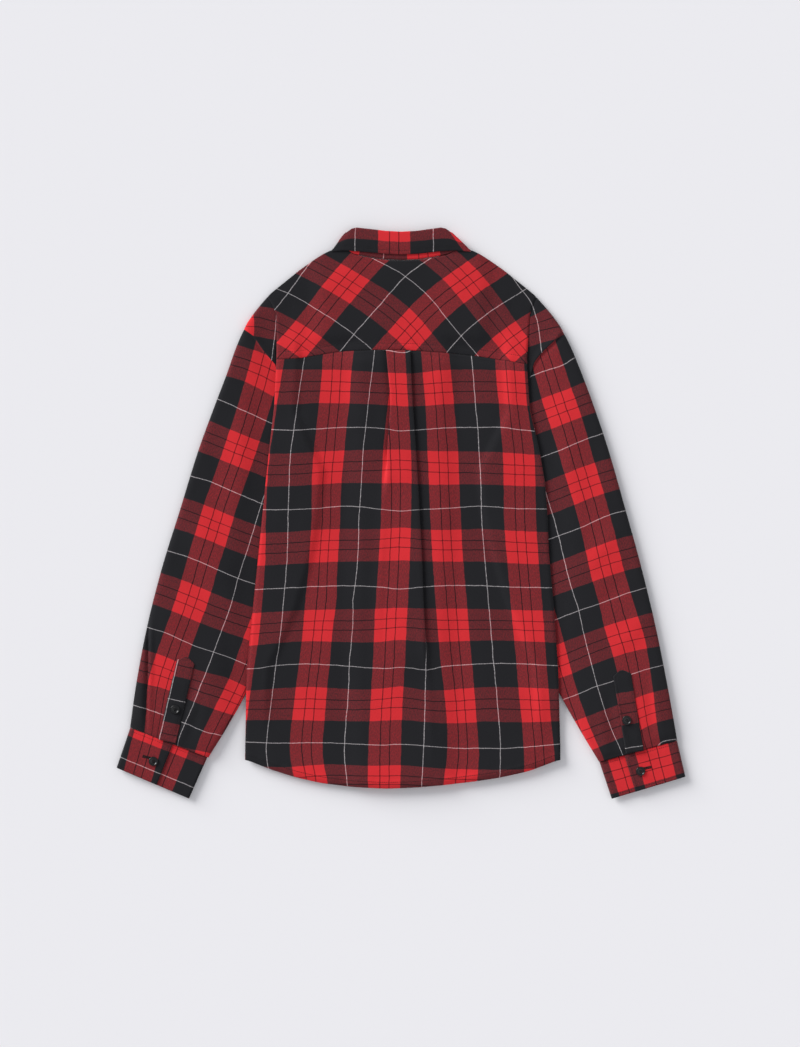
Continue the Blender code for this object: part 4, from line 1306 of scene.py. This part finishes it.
def turnProfile(profile, sides):
    # closed turned solid from (radius, height) points; the first and last lie on the axis
    body = bmesh.new()
    rings = []
    for radius, height in profile:
        if radius == 0:
            rings.append([body.verts.new((0, 0, height * metre))] * sides)
            continue
        turn = np.linspace(0, 2 * math.pi, sides, endpoint=False)
        rings.append([body.verts.new((radius * math.cos(a) * metre, radius * math.sin(a) * metre,
                                      height * metre)) for a in turn])
    for low, high in zip(rings, rings[1:]):
        for i in range(sides):
            j = (i + 1) % sides
            corners = list(dict.fromkeys((low[i], low[j], high[j], high[i])))
            body.faces.new(corners)
    bmesh.ops.recalc_face_normals(body, faces=body.faces)
    return body


def makeButtonMesh():
    # rounded foot, thick rim and a bowl that slopes to a flat middle
    r, t = button["radius"], button["thick"]
    profile = [(0, 0.35), (r * 0.45, 0.25), (r * 0.8, 0.0), (r - 0.25, 0.25), (r, 0.9), (r, 1.35),
               (r - 0.25, t - 0.3), (r - 0.6, t - 0.05), (r - 0.95, t), (r - 1.3, t - 0.06),
               (r - 1.65, t - 0.22), (r - 2.1, t - 0.56), (r - 2.6, t - 0.82), (r - 3.2, t - 0.94),
               (0, t - 0.9)]
    body = turnProfile(profile, button["sides"])
    mesh = bpy.data.meshes.new("shirtButton")
    body.to_mesh(mesh)
    body.free()
    disc = bpy.data.objects.new("buttonBlank", mesh)
    drill = bmesh.new()
    for i in range(button["holes"]):
        a = math.pi / 4 + 2 * math.pi * i / button["holes"]
        made = bmesh.ops.create_cone(drill, cap_ends=True, segments=button["holeSides"], depth=6 * metre,
                                     radius1=button["holeRadius"] * metre,
                                     radius2=button["holeRadius"] * metre)
        bmesh.ops.translate(drill, verts=made["verts"],
                            vec=(button["holeOut"] * math.cos(a) * metre,
                                 button["holeOut"] * math.sin(a) * metre, metre))
    drillMesh = bpy.data.meshes.new("drill")
    drill.to_mesh(drillMesh)
    drill.free()
    drillObject = bpy.data.objects.new("drill", drillMesh)
    for made in (disc, drillObject):
        bpy.context.collection.objects.link(made)
    cut = disc.modifiers.new("Holes", "BOOLEAN")
    cut.object, cut.operation, cut.solver = drillObject, "DIFFERENCE", "EXACT"
    graph = bpy.context.evaluated_depsgraph_get()
    finished = bpy.data.meshes.new_from_object(disc.evaluated_get(graph))
    for made in (disc, drillObject):
        bpy.data.objects.remove(made)
    finished.name = "shirtButton"
    finished.materials.append(resin)
    finished.shade_smooth()
    finished.set_sharp_from_angle(angle=math.radians(38))
    return finished


def makeThreadMesh():
    # two pairs of thread through the holes, each pair a small arch
    body = bmesh.new()
    t = button["thick"] - 0.75
    out = button["holeOut"] * math.sqrt(0.5)
    arch = ((-1, -1.1), (-1, 0.05), (-0.5, 0.42), (0, 0.5), (0.5, 0.42), (1, 0.05), (1, -1.1))
    for sign in (-1, 1):
        for shift in (-0.3, 0.3):
            x = out * sign + shift
            path = [(x, out * y, t + lift) for y, lift in arch]
            tube(body, np.array(path), button["threadRadius"], button["threadSides"])
    mesh = bpy.data.meshes.new("buttonThread")
    body.to_mesh(mesh)
    body.free()
    mesh.shade_smooth()
    mesh.materials.append(thread)
    return mesh


def tube(body, path, radius, sides):
    # closed round tube along a path of points, in mm
    ahead = np.gradient(path, axis=0)
    ahead /= np.linalg.norm(ahead, axis=1)[:, None]
    first = np.cross(ahead, (1.0, 0.0, 0.0))
    weak = np.linalg.norm(first, axis=1) < 0.3
    first[weak] = np.cross(ahead[weak], (0.0, 1.0, 0.0))
    first /= np.linalg.norm(first, axis=1)[:, None]
    second = np.cross(ahead, first)
    rings = []
    for i, point in enumerate(path):
        turn = np.linspace(0, 2 * math.pi, sides, endpoint=False)
        ring = [point + radius * (math.cos(a) * first[i] + math.sin(a) * second[i]) for a in turn]
        rings.append([body.verts.new(p * metre) for p in ring])
    for low, high in zip(rings, rings[1:]):
        for i in range(sides):
            j = (i + 1) % sides
            body.faces.new((low[i], low[j], high[j], high[i]))
    body.faces.new(rings[0][::-1])
    body.faces.new(rings[-1])


buttonMesh, threadMesh = makeButtonMesh(), makeThreadMesh()


def sewButton(name, node, place, turn, faceDown=False):
    # a button in place of its plain disc, and the thread that holds it
    made = newPiece(name, buttonMesh, [], [node])
    sewn = newPiece(name + "Thread", threadMesh, [], ())
    for piece in (made, sewn):
        piece.location = [value * metre for value in place]
        piece.rotation_euler = (math.pi if faceDown else 0, 0, turn)
        if faceDown:
            piece.location.z += button["thick"] * metre


def nodeBase(node):
    low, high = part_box(node)
    return (low.x + high.x) / 2 / metre, (low.y + high.y) / 2 / metre, low.z / metre


spin = np.random.default_rng(5)
for number in range(1, button["onFront"] + 1):
    sewButton(f"frontButton{number}", f"button_front_{number}", nodeBase(f"button_front_{number}"),
              spin.uniform(0, 1.5), faceDown=True)
sewButton("standButton", "button_stand", nodeBase("button_stand"), spin.uniform(0, 1.5), faceDown=True)
for side in ("left", "right"):
    x, y, z = nodeBase(f"button_placket_{side}")
    z = float(sleeveTop(np.array(x), np.array(y), side)) + placket["lift"] + placket["wall"] / 2 + 0.1
    sewButton(f"{side}PlacketButton", f"button_placket_{side}", (x, y, z), 0.3 + spin.uniform(0, 1))
    x, y, z = nodeBase(f"button_cuff_{side}")
    sewButton(f"{side}CuffButton", f"button_cuff_{side}", (x, y, z + 0.25), 0.3 + spin.uniform(0, 1))
print("buttons sewn on")

# a stitch's profile: place along it, share of the radius, and lift
stitch = {
    "pitch": 3.1, "length": 2.3, "radius": 0.3, "sink": 0.05, "sides": 6,
    "profile": ((-0.5, 0.35, -0.25), (-0.36, 0.9, 0.0), (0.0, 1.0, 0.12), (0.36, 0.9, 0.0),
                (0.5, 0.35, -0.25)),
}


def stitchRows(name, lines):
    # rows of short threads; each line is points on the cloth's surface in mm
    vertices, faces = [], []
    sides, profile = stitch["sides"], stitch["profile"]
    turn = np.linspace(0, 2 * math.pi, sides, endpoint=False)
    ring = np.array([(math.cos(a), math.sin(a)) for a in turn])
    for line in lines:
        points = resample(line, stitch["pitch"])
        middle = (points[:-1] + points[1:]) / 2
        ahead = np.diff(points, axis=0)
        ahead /= np.linalg.norm(ahead, axis=1)[:, None]
        across = np.stack((-ahead[:, 1], ahead[:, 0], 0 * ahead[:, 0]), -1)
        across /= np.linalg.norm(across, axis=1)[:, None]
        up = np.cross(ahead, across)
        for m, a, c, n in zip(middle, ahead, across, up):
            start = len(vertices)
            for at, wide, lift in profile:
                centre = m + a * at * stitch["length"] + n * (lift - stitch["sink"])
                for cosine, sine in ring:
                    vertices.append((centre + (c * cosine + n * sine) * wide * stitch["radius"]) * metre)
            for k in range(len(profile) - 1):
                low, high = start + k * sides, start + (k + 1) * sides
                for i in range(sides):
                    j = (i + 1) % sides
                    faces.append((low + i, low + j, high + j, high + i))
            last = start + (len(profile) - 1) * sides
            faces.append(tuple(start + i for i in range(sides - 1, -1, -1)))
            faces.append(tuple(last + i for i in range(sides)))
    mesh = bpy.data.meshes.new(name)
    mesh.from_pydata([tuple(v) for v in vertices], [], faces)
    mesh.shade_smooth()
    return newPiece(name, mesh, [thread])


def surfaceLine(x, y, height, wall):
    return np.stack((x, y, height + wall / 2), -1)


def yokeLine():
    x = np.linspace(-172, 174, 160)
    y = yokeSeamY(x) + yoke["stitchIn"]
    return surfaceLine(x, y, yokeTop(x, y), yoke["wall"])


def hemStitchLine():
    x = np.linspace(-214, 218, 200)
    y = hemY(x) + back["hemWide"] - 1.2
    return surfaceLine(x, y, backHeight(x, y) + backRelief(x, y), back["wall"])


def cuffLines(side):
    sign = signs[side]
    width, high = cuffSize(side)
    low = cuff["wall"] / 2
    under = low + cuff["wall"] + cuff["gap"]
    upper = under + cuff["wall"] + cuff["gap"]
    inset = cuff["stitchIn"]
    first, last = inset / high, 1 - inset / high
    lapEnd = cuff["lapEnd"][side]
    runs = [([0.03, lapEnd - inset / width], [first, first], upper),
            ([lapEnd - inset / width] * 2, [first, last], upper),
            ([lapEnd - inset / width, 0.03], [last, last], upper),
            ([lapEnd + 0.03, 0.97], [first, first], under),
            ([0.97, lapEnd + 0.03], [last, last], under)]
    lines = []
    for acrosses, downs, base in runs:
        a, d = np.linspace(*acrosses, 40), np.linspace(*downs, 40)
        place = cuffPoint(side, a, d)
        z = base + cuffSkin(a, d, width, high) + cuff["wall"] / 2
        lines.append(np.stack((place[:, 0] * sign, place[:, 1], z), -1))
    return lines


def placketLines(side):
    top, down, across, length = placketAxes(side)
    half = placketPlace[side]["width"] / 2 - placket["stitchIn"]
    tip = placket["tip"] - placket["stitchIn"] - 1
    # shares of the width and places down the placket: round its point, then across below it
    outline = [(-1, length - 2), (-1, 0), (-0.25, -tip), (0.25, -tip), (1, 0), (1, length - 2)]
    runs = [*zip(outline, outline[1:]), ((1, placket["barDown"]), (-1, placket["barDown"]))]
    flat = []
    for (r0, a0), (r1, a1) in runs:
        part = np.linspace(0, 1, 30)[:, None]
        spot = np.array((r0 * half, a0)) * (1 - part) + np.array((r1 * half, a1)) * part
        x = top[0] + down[0] * spot[:, 1] + across[0] * spot[:, 0]
        y = top[1] + down[1] * spot[:, 1] + across[1] * spot[:, 0]
        flat.append(surfaceLine(x, y, sleeveTop(x, y, side) + placket["lift"] - 0.3, placket["wall"]))
    return flat


yokeStitches = stitchRows("yokeStitches", [yokeLine()])
hemStitches = stitchRows("hemStitches", [hemStitchLine()])
stitched = {}
for side in ("left", "right"):
    stitched[side] = (stitchRows(f"{side}CuffStitches", cuffLines(side)),
                      stitchRows(f"{side}PlacketStitches", placketLines(side)))

# place and angle of each cuff's buttonhole, on the upper lap
cuffHole = {
    "length": 11, "wide": 1.9, "pitch": 0.55, "radius": 0.24,
    "left": (-356, -341, -0.26), "right": (344.6, -356, 0.2),
}


def buttonhole(side):
    # two close rows of thread along the slit
    x, y, angle = cuffHole[side]
    middle = np.array((x, y, nodeBase(f"button_cuff_{side}")[2] + 0.1))
    ahead = np.array((math.cos(angle), math.sin(angle), 0))
    across = np.array((-math.sin(angle), math.cos(angle), 0))
    length, wide = cuffHole["length"], cuffHole["wide"]
    body = bmesh.new()
    for sign in (-1, 1):
        for k in np.linspace(-0.5, 0.5, int(length / cuffHole["pitch"])):
            centre = middle + ahead * k * length
            path = [centre + across * sign * w for w in (0.12, wide * 0.5, wide)]
            path[1] = path[1] + np.array((0, 0, 0.18))
            tube(body, np.array(path), cuffHole["radius"], 6)
    name = f"{side}CuffHole"
    mesh = bpy.data.meshes.new(name)
    body.to_mesh(mesh)
    body.free()
    mesh.shade_smooth()
    return newPiece(name, mesh, [thread])


for side in ("left", "right"):
    buttonhole(side)
collarStitches = stitchRows("collarStitches", collarLines())
print("stitching done")

# each sheet's flat size in metres, its cut in square metres where that isn't the whole rectangle,
# how it is held, what it lies on and what is sewn to it
shirtCuts = (
    (backPanel, (0.47, 0.62), 0.272, "laid", ["front_left", "front_right", "leftSleeve", "rightSleeve"],
     [hemStitches]),
    (yokePanel, (0.38, 0.19), 0.062, "laid", ["front_left", "front_right"], [yokeStitches]),
    (leftFront, (0.24, 0.66), 0.150, "laid", [], []),
    (rightFront, (0.24, 0.66), 0.150, "laid", ["leftFront"], []),
    (leftSleeve, (0.36, 0.60), 0.17, "laid", [], []),
    (rightSleeve, (0.36, 0.60), 0.17, "laid", [], []),
    (leftCuff, (0.27, 0.062), None, "folded", ["leftSleeve"], [stitched["left"][0]]),
    (rightCuff, (0.27, 0.062), None, "folded", ["rightSleeve"], [stitched["right"][0]]),
    (leftPlacket, (0.025, 0.115), None, "laid", ["leftSleeve"], [stitched["left"][1]]),
    (rightPlacket, (0.025, 0.115), None, "laid", ["rightSleeve"], [stitched["right"][1]]),
    (collarFall, (0.48, 0.045), None, "folded", ["yokePanel", "collarStand"], [collarStitches]),
    (collarStand, (0.42, 0.034), None, "folded", ["yokePanel"], []),
)
for piece, flat, area, held, restsOn, sewnOn in shirtCuts:
    print(piece.name, "area", round(clothArea(piece), 4), "flat", round(flat[0] * flat[1], 4))

studio = {
    "floor": (0.823, 0.812, 0.828), "floorSize": 40000, "floorDrop": 4.0,
    "world": (0.93, 0.95, 1.0), "worldStrength": 0.50,
    "key": (-0.72, 0.58, 0.38), "keySoft": 36, "keyStrength": 3.7,
    "fill": (0.5, -0.3, 1.0), "fillSoft": 60, "fillStrength": 0.35,
    "lens": 120, "frameHeight": 1466, "aim": (-1.4, -14.3),
}


def makeFloor():
    # a wide plain sheet a little below the shirt
    body = bmesh.new()
    half = studio["floorSize"] / 2 * metre
    low = cadBox[0].z - studio["floorDrop"] * metre
    bmesh.ops.create_grid(body, x_segments=8, y_segments=8, size=half)
    for vertex in body.verts:
        vertex.co.z = low
    mesh = bpy.data.meshes.new("floor")
    body.to_mesh(mesh)
    body.free()
    made, _, shader = newMaterial("paleFloor")
    shader.inputs["Base Color"].default_value = colour4(studio["floor"])
    shader.inputs["Roughness"].default_value = 0.9
    shader.inputs["Specular IOR Level"].default_value = 0.1
    mesh.materials.append(made)
    floor = bpy.data.objects.new("floor", mesh)
    bpy.context.collection.objects.link(floor)


def addLight(name, source, soft, strength):
    # a broad distant light that comes from this direction
    lamp = bpy.data.lights.new(name, "SUN")
    lamp.angle, lamp.energy = math.radians(soft), strength
    made = bpy.data.objects.new(name, lamp)
    bpy.context.collection.objects.link(made)
    made.location = source
    made.rotation_euler = (-made.location).to_track_quat("-Z", "Y").to_euler()


makeFloor()
addLight("keyLight", studio["key"], studio["keySoft"], studio["keyStrength"])
addLight("fillLight", studio["fill"], studio["fillSoft"], studio["fillStrength"])
world = bpy.data.worlds.new("studio")
world.use_nodes = True
world.node_tree.nodes["Background"].inputs["Color"].default_value = colour4(studio["world"])
world.node_tree.nodes["Background"].inputs["Strength"].default_value = studio["worldStrength"]
bpy.context.scene.world = world
bpy.context.scene.view_settings.view_transform = "Standard"

lens = bpy.data.cameras.new("camera")
lens.lens, lens.sensor_width = studio["lens"], 36
lens.clip_end = 100
camera = bpy.data.objects.new("camera", lens)
bpy.context.collection.objects.link(camera)
distance = studio["frameHeight"] * studio["lens"] / lens.sensor_width
camera.location = [value * metre for value in (*studio["aim"], distance)]
bpy.context.scene.camera = camera

print("scene ready")
